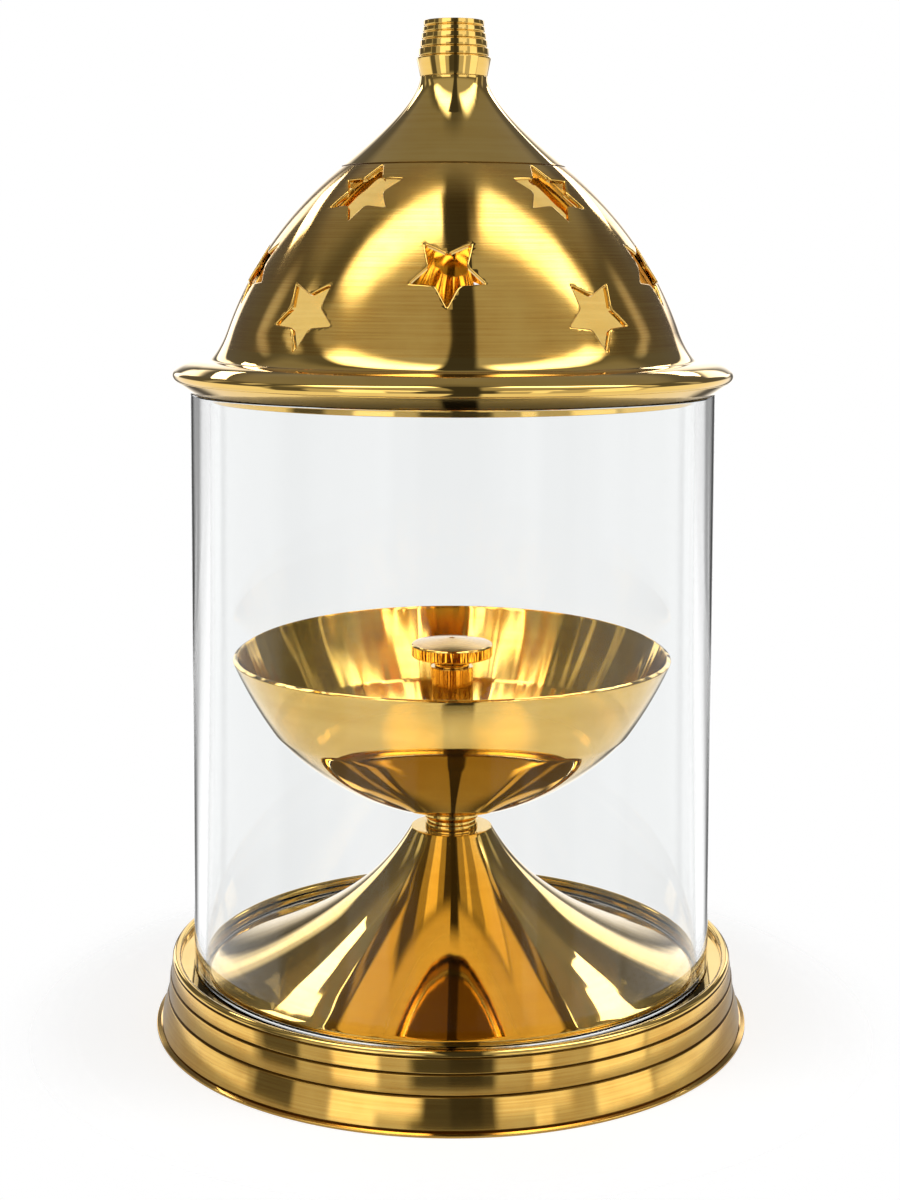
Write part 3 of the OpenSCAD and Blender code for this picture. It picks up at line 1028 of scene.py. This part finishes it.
@dataclass
class Chimney(Assembly):
    """Plain glass tube with fire-polished edges."""

    wall: float = 3.2
    edge_r: float = 0.4
    edge_steps: int = 10

    def build(self) -> None:
        """Draws the tube."""
        self.keep(lathe("glass_chimney_dressed", self.outline()), Body.GLASS, Slot.CLEAR_GLASS)

    def outline(self) -> list[Vector]:
        """Draws the outline of the tube's wall with its four rounded edges.

        Returns:
            The closed outline.
        """
        tube = extent("glass_chimney")
        inner = tube.r - self.wall + self.edge_r
        outer = tube.r - self.edge_r
        low = tube.low + self.edge_r
        high = tube.high - self.edge_r
        corners = ((inner, low, 180), (outer, low, 270), (outer, high, 0), (inner, high, 90))
        points = []
        for r, z, first in corners:
            points.extend(round_points(at(r, z), self.edge_r, first, first + 90, self.edge_steps))
        return points

    def dress(self, finishes: Finishes) -> None:
        """Gives the tube its glass."""
        paint(self.pieces["glass_chimney"], finishes.glass)


@dataclass(frozen=True)
class StarRow:
    """A row of star holes in the dome, stepped off from its first star.

    Its angle about the dome's centre of curvature is in radians, its bearings are in degrees.
    """

    tips: int
    tip_r: float
    valley_r: float
    angle: float
    start: float
    pitch: float

    def bearings(self, stars: int) -> list[float]:
        """Bearings of the stars, from the front to the right; the last one halves the gap that is left."""
        last = self.start + (360 - (stars - 2) * self.pitch) / 2
        return [self.start - i * self.pitch for i in range(stars - 1)] + [last]


@dataclass
class Lid(Assembly):
    """Pierced dome with its rolled rim, the crown, the vent and the collar that sits on the glass."""

    # Sheet and the gaps at its seat and seams
    sheet: float = 0.9
    seat_gap: float = 0.02
    braze_gap: float = 0.05
    # Rolled rim and collar
    overhang: float = 3.4
    nose_up: float = 3.25
    nose_r: float = 1.25
    nose_turn: float = 50.0
    flange_up: float = 6.15
    flange_pull: float = 0.85
    collar_inset: float = 3.7
    # Dome
    dome_foot_in: float = 6.95
    dome_foot_up: float = 11.7
    dome_kick: float = 3.45
    kick_pull: float = 3.5
    kick_fillet: float = 0.5
    dome_top_r: float = 21.5
    dome_top_up: float = 42.4
    dome_bulge: float = 2.6
    lip_h: float = 2.0
    # Stars
    stars_per_row: int = 5
    star_r: float = 6.9
    star_valley_r: float = 3.4
    six_star_r: float = 7.2
    six_star_valley_r: float = 3.9
    tip_round: float = 0.4
    star_edge_r: float = 0.35
    low_row_up: float = 15.7
    middle_row_up: float = 23.1
    upper_row_gap: float = 0.4
    low_row_start: float = 37.6
    middle_row_start: float = -1.5
    upper_row_start: float = 40.5
    pitch_excess: float = 4.6
    # Crown
    crown_h: float = 17.1
    neck_r: float = 6.4
    seam_chamfer: float = 0.25
    seam_clear: float = 1.5
    crown_foot_pull: float = 9.8
    crown_neck_pull: float = 4.25
    # Vent
    vent_flare: float = 0.65
    vent_collar_up: float = 3.5
    vent_collar_edge: float = 0.3
    vent_bore_r: float = 4.2
    vent_wall: float = 1.55
    vent_root_step: float = 0.25
    vent_rings: int = 5
    ring_h: float = 1.05
    ring_growth: float = 1.125
    ring_taper: float = 1.35
    ring_groove: float = 0.2
    vent_spigot_h: float = 3.0
    vent_edge: float = 0.08
    # Reach of the brushed finish, down from the dome's foot and into the sheet
    brushed_below_foot: float = 3.0
    skin_share: float = 0.3
    # Star punch: bevel of a tip against its rounding, and reach in sheets
    tip_bevel: float = 1.5
    punch_in: float = 3.0
    punch_out: float = 2.0
    # Steps of curves and meshes
    sweep_steps: int = 44
    kick_steps: int = 16
    flange_steps: int = 16
    nose_steps: int = 14
    crown_steps: int = 56
    tip_steps: int = 4
    edge_steps: int = 4
    punch_cuts: int = 3
    sag_rounds: int = 6

    def __post_init__(self) -> None:
        """Works out the shared points from the glass that the lid sits on."""
        glass = extent("glass_chimney")
        self.glass_r = glass.r
        self.seat_z = glass.high + self.seat_gap
        self.nose_centre = at(glass.r + self.overhang - self.nose_r, self.seat_z + self.nose_up)
        away = self.nose_centre - at(glass.r, self.seat_z)
        self.slant = math.degrees(math.atan2(away.y, away.x) - math.asin(self.nose_r / away.length))
        self.nose_end = self.nose_centre + self.nose_r * heading(self.slant - 90)
        self.dome_foot = at(glass.r - self.dome_foot_in, self.seat_z + self.dome_foot_up)
        self.dome_top = at(self.dome_top_r, self.seat_z + self.dome_top_up)
        self.dome_centre = arc_centre(self.dome_top, self.dome_foot, self.dome_bulge)
        self.dome_radius = (self.dome_top - self.dome_centre).length
        self.top_out = (self.dome_top - self.dome_centre).normalized()
        self.top_along = turned(self.top_out)
        self.flange_in = at(self.dome_foot.x + self.dome_kick, self.seat_z + self.flange_up)

    def build(self) -> None:
        """Spins the dome and the crown, pierces the stars and turns the collar and the vent."""
        dome = lathe("lid_dome_dressed", eased(self.dome_outline()))
        cut(dome, self.star_cutters())
        self.keep(dome, Body.LID, Slot.BRUSHED_BRASS)
        self.turn("lid_crown", self.crown_outline(), Body.LID, Slot.POLISHED_BRASS)
        self.turn("lid_collar", self.collar_outline(), Body.LID, Slot.POLISHED_BRASS)
        self.turn("vent_nozzle", self.vent_outline(), Body.LID, Slot.POLISHED_BRASS, self.vent_edge)

    def dome_outline(self) -> list[Vector]:
        """Draws the outline of the dome: down its outside, round the nose, up its inside and over its lip.

        Returns:
            The closed outline.
        """
        nose_start = self.nose_centre + self.nose_r * heading(self.nose_turn)
        drop = self.flange_in.y - nose_start.y
        flange_corner = at(nose_start.x - drop * math.tan(math.radians(self.nose_turn)), self.flange_in.y)
        foot_along = turned(self.dome_foot - self.dome_centre).normalized()
        sweep = arc_points(self.dome_top, self.dome_foot, self.dome_bulge, self.sweep_steps)
        kick = curve_points(
            self.dome_foot,
            self.dome_foot - self.kick_pull * foot_along,
            self.flange_in - at(self.kick_fillet, 0),
            self.flange_in,
            self.kick_steps,
        )
        flange = bend_points(self.flange_in, flange_corner, nose_start, self.flange_pull, self.flange_steps)
        nose = round_points(self.nose_centre, self.nose_r, self.nose_turn, self.slant - 90, self.nose_steps)
        outside = sweep + kick[1:] + flange[1:] + nose[1:]
        inside = beside(outside, -self.sheet)[1:]
        lip_foot = self.dome_top - (self.sheet + self.braze_gap) * self.top_out
        lip_top = lip_foot + self.lip_h * self.top_along
        return [
            *outside,
            *inside[::-1],
            lip_foot - self.sheet * self.top_out,
            lip_top - self.sheet * self.top_out,
            lip_top,
            lip_foot,
        ]

    def star_rows(self) -> list[StarRow]:
        """Places the three rows of stars by their angle about the dome's centre of curvature.

        Returns:
            The rows, from the lowest up.
        """
        low = math.asin((self.seat_z + self.low_row_up - self.dome_centre.y) / self.dome_radius)
        middle = math.asin((self.seat_z + self.middle_row_up - self.dome_centre.y) / self.dome_radius)
        reach = math.atan2(self.six_star_r + self.upper_row_gap, self.dome_radius)
        upper = math.atan2(self.top_out.y, self.top_out.x) - reach
        even = 360 / self.stars_per_row
        wide = even + self.pitch_excess
        return [
            StarRow(5, self.star_r, self.star_valley_r, low, self.low_row_start, wide),
            StarRow(5, self.star_r, self.star_valley_r, middle, self.middle_row_start, even),
            StarRow(6, self.six_star_r, self.six_star_valley_r, upper, self.upper_row_start, wide),
        ]

    def star_cutters(self) -> Object:
        """Models one star punch for each row, copies it round the dome and joins the copies.

        Returns:
            The joined punches.
        """
        punches = []
        for row in self.star_rows():
            punch = self.star_punch(row)
            centre = self.dome_centre + self.dome_radius * heading(math.degrees(row.angle))
            tilt = Matrix.Rotation(math.pi / 2 - row.angle, 4, "Y")
            stand = Matrix.Translation((centre.x * MM, 0, centre.y * MM)) @ tilt
            for bearing in row.bearings(self.stars_per_row):
                turn = math.radians(bearing - 90)
                copy = punch.copy()
                copy.data = punch.data.copy()
                bpy.context.scene.collection.objects.link(copy)
                copy.data.transform(Matrix.Rotation(turn, 4, "Z") @ stand)
                punches.append(copy)
            bpy.data.objects.remove(punch)
        activate(punches[0])
        for punch in punches:
            punch.select_set(True)
        bpy.ops.object.join()
        return bpy.context.active_object

    def star_punch(self, row: StarRow) -> Object:
        """Models the punch of one row, with a flared shoulder that rounds the edge of the hole.

        Args:
            row: the row of stars.

        Returns:
            The punch, with its star along +X and its axis along +Z.
        """
        bpy.ops.object.select_all(action="DESELECT")
        bpy.ops.mesh.primitive_circle_add(vertices=2 * row.tips, radius=row.tip_r * MM, fill_type="NGON")
        punch = bpy.context.active_object
        punch.data.transform(Matrix.Rotation(-math.pi / 2, 4, "Z"))
        tip_indices = [v.index for v in punch.data.vertices if v.index % 2 == 0]
        for v in punch.data.vertices:
            v.co *= 1.0 if v.index in tip_indices else row.valley_r / row.tip_r
            v.select = v.index in tip_indices
        bpy.ops.object.mode_set(mode="EDIT")
        bevel = self.tip_bevel * self.tip_round * MM
        bpy.ops.mesh.bevel(affect="VERTICES", offset=bevel, segments=self.tip_steps)
        bpy.ops.mesh.select_all(action="SELECT")
        bpy.ops.mesh.subdivide(number_cuts=self.punch_cuts)
        bpy.ops.mesh.select_all(action="SELECT")
        half_step = math.pi / row.tips
        edge = at(row.tip_r, 0) - row.valley_r * at(math.cos(half_step), math.sin(half_step))
        inset = row.tip_r * row.valley_r * math.sin(half_step) / edge.length
        turns = [math.pi / 2 * k / self.edge_steps for k in range(self.edge_steps, -1, -1)]
        edge_r = self.star_edge_r
        flare = [at(edge_r * (1 - math.sin(a)), edge_r * (math.cos(a) - 1)) for a in turns]
        inner_end = at(0, -self.punch_in * self.sheet)
        rings = [inner_end, *flare, at(edge_r, self.punch_out * self.sheet)]
        bpy.ops.transform.translate(value=(0, 0, rings[0].y * MM))
        for below, above in zip(rings, rings[1:]):
            rise = (above.y - below.y) * MM
            growth = (inset + above.x) / (inset + below.x)
            bpy.ops.mesh.extrude_region_move(TRANSFORM_OT_translate={"value": (0, 0, rise)})
            bpy.ops.transform.resize(value=(growth, growth, 1), center_override=(0, 0, above.y * MM))
        bpy.ops.mesh.select_all(action="SELECT")
        bpy.ops.mesh.normals_make_consistent(inside=False)
        bpy.ops.object.mode_set(mode="OBJECT")
        for v in punch.data.vertices:
            v.co.z += self.sag(v.co.x / MM, v.co.y / MM, row.angle) * MM
        return punch

    def sag(self, x: float, y: float, angle: float) -> float:
        """How far the dome lies below the flat that touches it at a star's middle.

        Args:
            x: way down the dome from the star's middle, in millimetres.
            y: way round the dome.
            angle: angle of the row about the dome's centre of curvature.

        Returns:
            The height above the flat, which is negative.
        """
        out = heading(math.degrees(angle))
        middle = self.dome_radius * out + self.dome_centre
        down = -turned(out)
        height = 0.0
        for _ in range(self.sag_rounds):
            p = middle + x * down + height * out
            from_centre = at(math.hypot(p.x, y), p.y) - self.dome_centre
            height -= from_centre.length - self.dome_radius
        return height

    def crown_outline(self) -> list[Vector]:
        """Draws the outline of the crown, from the seam's chamfer up to the neck and down inside.

        Returns:
            The closed outline.
        """
        foot = self.dome_top + self.braze_gap * self.top_along
        neck = at(self.neck_r, self.dome_top.y + self.crown_h)
        foot_handle = foot + self.crown_foot_pull * self.top_along
        neck_handle = neck - at(0, self.crown_neck_pull)
        sweep = curve_points(foot, foot_handle, neck_handle, neck, self.crown_steps)
        inside = beside(sweep, self.sheet)[::-1]
        start = [p for p in sweep[1:] if (p - foot).length > self.seam_clear * self.seam_chamfer]
        return [
            foot - self.seam_chamfer * self.top_out,
            foot + self.seam_chamfer * self.top_along,
            *start,
            *inside,
        ]

    def collar_outline(self) -> list[Vector]:
        """Draws the outline of the collar: the slant under the rim, the seat and the ring inside the glass.

        Returns:
            The closed outline.
        """
        collar = extent("lid_collar")
        ring_r = self.glass_r - self.collar_inset
        slant_top = self.nose_end - self.braze_gap * heading(self.slant)
        slant = math.radians(self.slant)
        seat_in_r = self.glass_r + self.sheet * (1 - 1 / math.cos(slant)) / math.tan(slant)
        return [
            at(self.glass_r, self.seat_z),
            slant_top,
            slant_top + self.sheet * turned(heading(self.slant)),
            at(seat_in_r, self.seat_z + self.sheet),
            at(ring_r, self.seat_z + self.sheet),
            at(ring_r, collar.high),
            at(ring_r - self.sheet, collar.high),
            at(ring_r - self.sheet, collar.low),
            at(ring_r, collar.low),
            at(ring_r, self.seat_z),
        ]

    def ring_depth(self, count: int) -> float:
        """Height of the vent's first rings together, from its mouth down."""
        return sum(self.ring_h * self.ring_growth**i for i in range(count))

    def vent_outline(self) -> list[Vector]:
        """Draws the outline of the vent: its spigot, its collar, its rings and its bore.

        Returns:
            The closed outline.
        """
        vent = extent("vent_nozzle")
        root_z = vent.low + self.vent_spigot_h
        spigot_r = self.neck_r - self.sheet - self.braze_gap
        collar_r = self.neck_r + self.vent_flare
        collar_z = root_z + self.vent_collar_up
        mouth_r = self.vent_bore_r + self.vent_wall
        widening = self.neck_r + self.vent_root_step - mouth_r
        rings = []
        for i in range(self.vent_rings - 1, -1, -1):
            r = mouth_r + widening * (i / (self.vent_rings - 1)) ** self.ring_taper
            bottom = vent.high - self.ring_depth(i + 1)
            top = vent.high - self.ring_depth(i)
            rings.append(at(r - self.ring_groove, bottom))
            rings.append(at(r, bottom + self.ring_groove))
            rings.append(at(r, top - self.ring_groove if i else top))
        return [
            at(self.vent_bore_r, vent.low),
            at(spigot_r, vent.low),
            at(spigot_r, root_z),
            at(self.neck_r, root_z),
            at(collar_r, collar_z - self.vent_collar_edge),
            at(collar_r, collar_z),
            *rings,
            at(self.vent_bore_r, vent.high),
        ]

    def dress(self, finishes: Finishes) -> None:
        """Brushes the dome's outside, polishes the rest of the lid and paints tarnish and shade into the
        seam under the crown.

        Args:
            finishes: the lamp's materials.
        """
        for piece in self.pieces.values():
            paint(piece, finishes.mirror)
        brushed_z = self.dome_foot.y - self.brushed_below_foot
        paint_faces(
            self.pieces["lid_dome"],
            finishes.brushed,
            lambda p, n: p.z > brushed_z and outward(p, n) and self.on_outside(p),
        )
        seam_z = self.dome_top.y + self.seam_chamfer
        # Tarnish with painted shade in the seam's crease under the crown
        paint_faces(
            self.pieces["lid_crown"], finishes.tarnish_and_shade, lambda p, n: p.z < seam_z and outward(p, n)
        )

    def on_outside(self, p: Vector) -> bool:
        """Whether a point lies near the dome's outer surface."""
        depth = self.dome_radius - (at(p.xy.length, p.z) - self.dome_centre).length
        return depth < self.skin_share * self.sheet


# Studio


class Sight(Enum):
    """How a panel's place is given, as seen from the lamp."""

    # By bearing, from the front to the right, and height, both in degrees
    BEARING = "bearing"
    # By bearing to either side, and height
    SIDES = "sides"
    # By the way to the right and forward on a ceiling one unit up
    CEILING = "ceiling"


@dataclass(frozen=True)
class Span:
    """A stretch of a coordinate, with the width of the soft edge at each end."""

    start: float
    end: float
    start_soft: float
    end_soft: float


@dataclass(frozen=True)
class Panel:
    """A soft-edged patch of the studio; a skewed ceiling panel slants forward towards its left end."""

    across: Span
    up: Span
    brightness: float
    sight: Sight = Sight.BEARING
    skew: float = 0.0


@dataclass(frozen=True)
class StripLamp:
    """A strip light, by its bearing in degrees and its place and sizes in millimetres."""

    bearing: float
    away: float
    up: float
    length: float
    width: float
    brightness: float
    through_glass: bool = True

    def hang(self) -> None:
        """Hangs the strip so that it faces the lamp."""
        turn = math.radians(self.bearing)
        place = Vector((self.away * math.sin(turn), -self.away * math.cos(turn), self.up)) * MM
        aim = place.to_track_quat("Z", "Y").to_euler()
        bpy.ops.object.light_add(type="AREA", location=place, rotation=aim)
        lamp = bpy.context.active_object
        lamp.visible_camera = False
        lamp.visible_transmission = self.through_glass
        lamp.data.shape = "RECTANGLE"
        lamp.data.size = self.length * MM
        lamp.data.size_y = self.width * MM
        lamp.data.energy = self.brightness * math.pi * lamp.data.size * lamp.data.size_y


# Heights of the low cards in front, and a span that is wider than a whole turn
LOW = Span(-25, 16, 8, 6)
ALL_ROUND = Span(-400, 400, 1, 1)
# Bearings of the small lamps under the lid
UNDER_LID = (-150, -105, -62, -34, 34, 62, 105, 150)


@dataclass
class Studio:
    """White floor and backdrop, two overhead softboxes, walls with cards and strips, lamps, and the camera.

    The panels follow what the photographed brass reflects. Later ones lie over earlier ones.
    """

    # Camera
    camera_back: float = 373.0
    camera_up: float = 147.65
    camera_dip: float = 4.59
    camera_roll: float = 0.18
    lens: float = 58.353
    sensor_w: float = 36.0
    nearest: float = 10.0
    frame_shift: tuple[float, float] = (-2.75 / 1200, -187.5 / 1200)
    # Floor
    floor_r: float = 92.0
    floor_sides: int = 128
    floor_fade_r: float = 68.0
    floor_haze: float = 60.0
    floor_glow: float = 0.665
    floor_glow_through_glass: float = 0.8
    floor_glow_mirrored: float = 0.15
    # Light all round, and the lowest rise at which the ceiling is seen
    ambience: float = 0.12
    lowest_rise: float = 0.02
    # Dark gap
    gap_bearing: float = 5.5
    gap_half_width: float = 5.5
    gap_soft: float = 2.5
    gap_front: Span = Span(-90, 90, 10, 10)
    gap_brightness: float = 0.05
    panels: tuple[Panel, ...] = (
        # The walls: dim in front, dimmer high up behind, with low white wings and a white backdrop
        Panel(Span(-78, 80, 5, 5), Span(24, 76, 14, 14), 0.44),
        Panel(Span(100, 400, 20, 1), Span(38, 82, 10, 10), 0.25, Sight.SIDES),
        Panel(Span(80, 154, 6, 10), Span(-30, 2, 5, 6), 1.1, Sight.SIDES),
        Panel(Span(164, 400, 8, 1), Span(-95, 27, 1, 6), 1.25, Sight.SIDES),
        # Upright strips beside and behind the lamp
        Panel(Span(-98, -90, 3, 3), Span(20, 36, 6, 6), 0.8),
        Panel(Span(-158, -148, 3, 3), Span(0, 24, 6, 6), 2.0),
        Panel(Span(84, 92, 3, 3), Span(14, 36, 6, 6), 0.9),
        Panel(Span(149, 160, 3, 3), Span(6, 24, 6, 6), 2.0),
        Panel(Span(112, 119, 5, 5), Span(6, 30, 6, 10), 0.5, Sight.SIDES),
        # The two softboxes
        Panel(Span(-1.0, -0.065, 0.5, 0.05), Span(-0.03, 0.29, 0.16, 0.3), 4.5, Sight.CEILING, 0.22),
        Panel(Span(0.2, 1.4, 0.12, 0.4), Span(-0.035, 0.3, 0.2, 0.24), 4.5, Sight.CEILING),
        # Low in front: cards and gaps, with the dark camera in the middle
        Panel(Span(-80, 82, 6, 6), LOW, 0.6),
        Panel(Span(-78, -60, 4, 4), LOW, 0.12),
        Panel(Span(-46, -27, 3, 3), LOW, 1.6),
        Panel(Span(-15, 17, 4, 4), LOW, 0.08),
        Panel(Span(31, 38, 2, 3), LOW, 1.3),
        Panel(Span(55, 80, 4, 4), LOW, 1.4),
        Panel(Span(-42, -12, 5, 6), Span(4, 19, 3, 4), 1.7),
        Panel(Span(18, 45, 6, 6), Span(4, 19, 3, 4), 1.2),
        # The white floor, from above
        Panel(ALL_ROUND, Span(-95, -27, 1, 8), 1.0),
    )
    strips: tuple[StripLamp, ...] = (
        StripLamp(-139, 340, 340, 120, 45, 5.0),
        StripLamp(148, 340, 320, 90, 45, 5.0),
        # A ring of small ones under the lid, which streak the bowl's inside
        *(StripLamp(bearing, 33, 127, 9, 24, 4.0, False) for bearing in UNDER_LID),
    )

    def build(self) -> None:
        """Sets up the floor, the surroundings and the camera."""
        self.lay_floor()
        self.light()
        for strip in self.strips:
            strip.hang()
        self.aim_camera()

    def lay_floor(self) -> None:
        """Lays a white floor that keeps a faint shadow of the lamp and fades out towards its edge."""
        bpy.ops.object.select_all(action="DESELECT")
        bpy.ops.mesh.primitive_circle_add(
            vertices=self.floor_sides, radius=self.floor_r * MM, fill_type="NGON"
        )
        floor = bpy.context.active_object
        floor.name = "floor"
        material, tree = new_material("white acrylic sheet")
        place = add_node(tree, "TexCoord").outputs["Object"]
        haze = add_node(tree, "TexNoise", {"Vector": place, "Scale": 1 / (self.floor_haze * MM)})
        shade = add_node(
            tree, "Mix", {"Factor": haze, "A": colour("#b4b4b4"), "B": colour("#b2b2b2")}, data_type="RGBA"
        )
        matt = add_node(tree, "BsdfDiffuse", {"Color": shade.outputs["Result"]})
        path = add_node(tree, "LightPath").outputs
        mirrored = add_node(
            tree, "Math", {0: path["Is Glossy Ray"], 1: path["Is Transmission Ray"]}, operation="SUBTRACT"
        )
        unseen = add_node(
            tree,
            "MapRange",
            {"Value": mirrored, "To Min": self.floor_glow_through_glass, "To Max": self.floor_glow_mirrored},
        )
        shade_seen = self.floor_glow - self.floor_glow_through_glass
        strength = add_node(
            tree, "Math", {0: path["Is Camera Ray"], 1: shade_seen, 2: unseen}, operation="MULTIPLY_ADD"
        )
        glow = add_node(tree, "Emission", {"Color": colour("#ffffff"), "Strength": strength})
        both = add_node(tree, "AddShader", {0: matt, 1: glow})
        away = add_node(tree, "VectorMath", {0: place}, operation="LENGTH").outputs["Value"]
        fade = add_node(
            tree,
            "MapRange",
            {"Value": away, "From Min": self.floor_fade_r * MM, "From Max": self.floor_r * MM},
            interpolation_type="SMOOTHSTEP",
        )
        clear = add_node(tree, "BsdfTransparent")
        sheet = add_node(tree, "MixShader", {0: fade, 1: both, 2: clear})
        surface(tree, sheet)
        paint(floor, material)

    def light(self) -> None:
        """Builds the surroundings: white where seen directly or through glass, panels in reflections."""
        world = bpy.data.worlds.new("studio")
        world.use_nodes = True
        tree = world.node_tree
        tree.nodes.clear()
        way = add_node(tree, "TexCoord").outputs["Generated"]
        apart = add_node(tree, "SeparateXYZ", {"Vector": way})
        forward = add_node(tree, "Math", {0: apart.outputs["Y"], 1: -1.0}, operation="MULTIPLY")
        turn = add_node(tree, "Math", {0: apart.outputs["X"], 1: forward}, operation="ARCTAN2")
        bearing = add_node(tree, "Math", {0: turn}, operation="DEGREES")
        rise = add_node(tree, "Math", {0: apart.outputs["Z"]}, operation="ARCSINE")
        height = add_node(tree, "Math", {0: rise}, operation="DEGREES")
        both_sides = add_node(tree, "Math", {0: bearing}, operation="ABSOLUTE")
        # The ceiling ends a little over the horizon, so that nothing is divided by zero
        above = add_node(tree, "Math", {0: apart.outputs["Z"], 1: self.lowest_rise}, operation="MAXIMUM")
        right = add_node(tree, "Math", {0: apart.outputs["X"], 1: above}, operation="DIVIDE")
        front = add_node(tree, "Math", {0: forward, 1: above}, operation="DIVIDE")
        places = {
            Sight.BEARING: (bearing, height),
            Sight.SIDES: (both_sides, height),
            Sight.CEILING: (right, front),
        }
        level = self.ambience
        for panel in self.panels:
            x, y = places[panel.sight]
            if panel.skew:
                y = add_node(tree, "Math", {0: x, 1: panel.skew, 2: y}, operation="MULTIPLY_ADD")
            across = self.window(tree, x, panel.across)
            up = self.window(tree, y, panel.up)
            level = self.layer(tree, level, panel.brightness, across, up)
        level = self.dark_gap(tree, way, bearing, level)
        # A ray that passes the glass before any mirror sees white, as the camera does
        path = add_node(tree, "LightPath").outputs
        unmirrored = add_node(tree, "Math", {0: path["Glossy Depth"], 1: 0.5}, operation="LESS_THAN")
        through = add_node(
            tree,
            "Math",
            {0: path["Is Transmission Ray"], 1: unmirrored, 2: path["Is Camera Ray"]},
            operation="MULTIPLY_ADD",
        )
        seen = add_node(tree, "Mix", {"Factor": through, "A": level, "B": 1.0}, data_type="FLOAT")
        background = add_node(tree, "Background", {"Color": colour("#ffffff"), "Strength": seen})
        add_node(tree, "OutputWorld", {"Surface": background})
        bpy.context.scene.world = world

    def window(self, tree: NodeTree, value: Link, span: Span) -> Link:
        """A mask that is 1 inside a span and falls softly to 0 outside it.

        Args:
            tree: the world's node tree.
            value: the coordinate.
            span: the stretch, where the mask is one half at each end.

        Returns:
            The mask.
        """
        edges = []
        for middle, soft, sign in ((span.start, span.start_soft, 1), (span.end, span.end_soft, -1)):
            edge = add_node(
                tree,
                "MapRange",
                {"Value": value, "From Min": middle - sign * soft / 2, "From Max": middle + sign * soft / 2},
                interpolation_type="SMOOTHSTEP",
            )
            edges.append(edge)
        return add_node(tree, "Math", {0: edges[0], 1: edges[1]}, operation="MULTIPLY")

    def layer(self, tree: NodeTree, level: float | Link, brightness: float, across: Link, up: Link) -> Link:
        """Lays one patch of brightness over the level so far, where both of its masks are 1."""
        mask = add_node(tree, "Math", {0: across, 1: up}, operation="MULTIPLY")
        return add_node(tree, "Mix", {"Factor": mask, "A": level, "B": brightness}, data_type="FLOAT")

    def dark_gap(self, tree: NodeTree, way: Link, bearing: Link, level: Link) -> Link:
        """Lays the upright dark gap between the two halves of the light tent, in front of the lamp.

        Args:
            tree: the world's node tree.
            way: direction looked at.
            bearing: its bearing in degrees.
            level: brightness so far.

        Returns:
            The brightness with the gap.
        """
        angle = math.radians(self.gap_bearing)
        side = (math.cos(angle), math.sin(angle), 0)
        offset = add_node(tree, "VectorMath", {0: way, 1: side}, operation="DOT_PRODUCT")
        sideways = add_node(tree, "Math", {0: offset.outputs["Value"]}, operation="ARCSINE")
        degrees = add_node(tree, "Math", {0: sideways}, operation="DEGREES")
        gap = Span(-self.gap_half_width, self.gap_half_width, self.gap_soft, self.gap_soft)
        across = self.window(tree, degrees, gap)
        front = self.window(tree, bearing, self.gap_front)
        return self.layer(tree, level, self.gap_brightness, across, front)

    def aim_camera(self) -> None:
        """Stands the camera where the photograph was taken from."""
        bpy.ops.object.camera_add(
            location=(0, -self.camera_back * MM, self.camera_up * MM),
            rotation=(math.radians(90 - self.camera_dip), 0, 0),
        )
        camera = bpy.context.active_object
        camera.rotation_euler.rotate_axis("Z", math.radians(self.camera_roll))
        camera.data.lens = self.lens
        camera.data.sensor_width = self.sensor_w
        camera.data.shift_x, camera.data.shift_y = self.frame_shift
        camera.data.clip_start = self.nearest * MM
        bpy.context.scene.camera = camera


def main() -> None:
    """Builds and dresses the lamp, then sets up the studio around it."""
    logging.basicConfig(level=logging.INFO, format="%(relativeCreated)6d ms  %(message)s")
    bpy.context.scene.view_settings.view_transform = "Standard"
    finishes = Finishes()
    for assembly in (Base(), Bowl(), WickHolder(), Chimney(), Lid()):
        assembly.build()
        assembly.dress(finishes)
        for node, piece in assembly.pieces.items():
            LOG.info("%s: %s with %d faces", type(assembly).__name__, node, len(piece.data.polygons))
    Studio().build()


if __name__ == "__main__":
    main()
